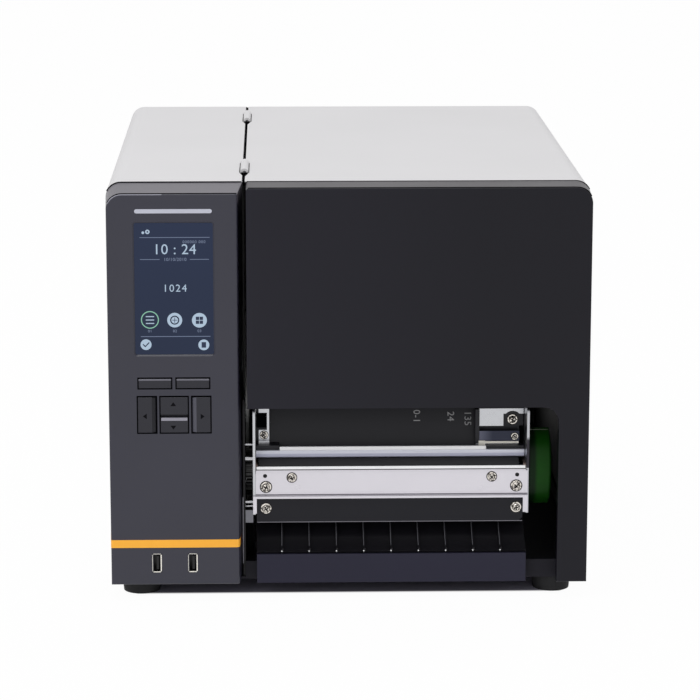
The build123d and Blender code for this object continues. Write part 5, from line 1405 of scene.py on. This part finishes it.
# The outline of a front moulding at a distance from its front, from its inner end to part of the way round
# its outer corner.
def topOutline(moulding, distance, settings):
    side, (innerDraw, outerDraw, topDraw) = settings["mouldings"][moulding][1:]
    low, high = nodeBox(moulding)
    share = 1 - distance / (high.y - low.y)
    inset, corner, y = settings["inset"], settings["corner"], low.y + distance
    inner, outer = (high.x, low.x) if side < 0 else (low.x, high.x)
    inner, outer = inner + side * innerDraw * share, outer - side * outerDraw * share
    top = high.z - topDraw * share
    centre = Vector((outer - side * corner, y, top - corner))
    start = Vector((inner + side * settings["start"], y, top - inset))
    path = [start, Vector(((inner + outer) / 2, y, top - inset))]
    for step in range(settings["cornerSteps"] + 1):
        angle = settings["cornerSweep"] * step / settings["cornerSteps"]
        path.append(centre + Vector((side * sin(angle), 0, cos(angle))) * (corner - inset))
    return path


def makeJoints(settings):
    for node, moulding in settings["mouldings"].items():
        shape = bmesh.new()
        for distance, radius in settings["lines"][node]:
            addWire(shape, topOutline(node, distance, settings), radius)
        finishPiece(dashed(node) + "-joint-shade", shape, "gapBlack", moulding[0])
    distance, radius = settings["edgeLine"]
    path = topOutline("front_fascia", distance, settings)
    path[0].x = nodeBox("front_fascia")[0].x + settings["edgeLength"]
    del path[1]
    shape = bmesh.new()
    addWire(shape, path, radius)
    finishPiece("fasciaEdgeLight", shape, "edgeLight", "chassis")


makeJoints(jointSettings)
print("joint lines made")


# Black screws round the rear panel, from its low corner.
rearScrewSettings = {
    "radius": 3.4,
    "sideInset": 5.2,
    "heights": [8.0, 160.0, 315.0],
    "middles": [109.2, 255.2],
    "turnStep": 0.4,
}


def makeRearScrews(settings):
    low, high = nodeBox("rear_panel")
    shape, shades = bmesh.new(), bmesh.new()
    inset, heights = settings["sideInset"], [low.z + height for height in settings["heights"]]
    places = [(x, z) for x in (low.x + inset, high.x - inset) for z in heights]
    places += [(low.x + x, heights[-1]) for x in settings["middles"]]
    for number, (x, z) in enumerate(places):
        turn = settings["turnStep"] * number
        addScrew(shape, (x, high.y, z), settings["radius"], "back", turn, shades)
    finishPiece("rearPanelScrews", shape, "darkSteel", "chassis")
    finishPiece("rearPanelScrewShade", shades, "shadeBlack", "chassis")


makeRearScrews(rearScrewSettings)
print("rear screws made")


# Studio, in metres: a pale floor that shows white to the camera away from the object and has a painted shadow
# tone under it, and large soft lamps.
studioSettings = {
    "floorHalf": 30.0,
    "floorTone": tone(238, 238, 238),
    "whiteNear": -0.0245,  # from the object's box, as the next
    "whiteFar": -0.0205,
    "whiteShare": 0.97,
    "underShadowTone": tone(158, 155, 172),
    "worldStrength": 0.78,
    "lamps": [  # name, place, size, watts
        ("top lamp", (-0.4, -0.6, 2.6), 1.4, 17.0),
        ("front lamp", (-1.5, -3.0, 1.7), 1.4, 10.0),
    ],
}


def makeFloor(settings):
    shape = bmesh.new()
    bmesh.ops.create_grid(shape, x_segments=4, y_segments=4, size=settings["floorHalf"])
    floor = makeObject("floor", shape)
    finish = Finish("pale floor", {"Roughness": 0.9, "Specular IOR Level": 0.1})
    half = (cadBox[1] - cadBox[0]) / 2
    away = (finish.along("X").size() - half.x).atLeast(finish.along("Y").size() - half.y)
    mask = finish.fade(away, settings["whiteNear"], settings["whiteFar"])
    cloud = finish.noise(300, 2.0)
    pale = finish.mottled(cloud, settings["floorTone"], 0.98, 1.0)
    finish.colour(finish.blend(mask, settings["underShadowTone"], pale))
    rays = ("Is Camera Ray", "Is Glossy Ray", "Is Transmission Ray")
    camera, glossy, through = [finish.node("ShaderNodeLightPath", output=name) for name in rays]
    seen = camera.atLeast(glossy).atLeast(through)
    white = finish.node("ShaderNodeEmission", None, {"Color": (1, 1, 1, 1), "Strength": 1.0})
    lit = Wire(finish, finish.shader.outputs[0])
    share = mask * seen * settings["whiteShare"]
    finish.plug(finish.out.inputs[0], finish.node("ShaderNodeMixShader", None, {0: share, 1: lit, 2: white}))
    floor.data.materials.append(finish.material)


def makeWorld(settings):
    world = bpy.data.worlds.new("studio")
    bpy.context.scene.world = world
    world.use_nodes = True
    background = world.node_tree.nodes["Background"]
    background.inputs[0].default_value = (1, 1, 1, 1)
    background.inputs[1].default_value = settings["worldStrength"]


def makeLamps(settings):
    target = (cadBox[0] + cadBox[1]) / 2
    for name, place, size, watts in settings["lamps"]:
        data = bpy.data.lights.new(name, "AREA")
        data.shape = "SQUARE"
        data.size = size
        data.energy = watts
        lamp = bpy.data.objects.new(name, data)
        lamp.location = place
        lamp.rotation_mode = "QUATERNION"
        lamp.rotation_quaternion = (target - Vector(place)).to_track_quat("-Z", "Y")
        bpy.context.scene.collection.objects.link(lamp)


makeFloor(studioSettings)
makeWorld(studioSettings)
makeLamps(studioSettings)
bpy.context.scene.view_settings.view_transform = "Standard"
print("studio ready")
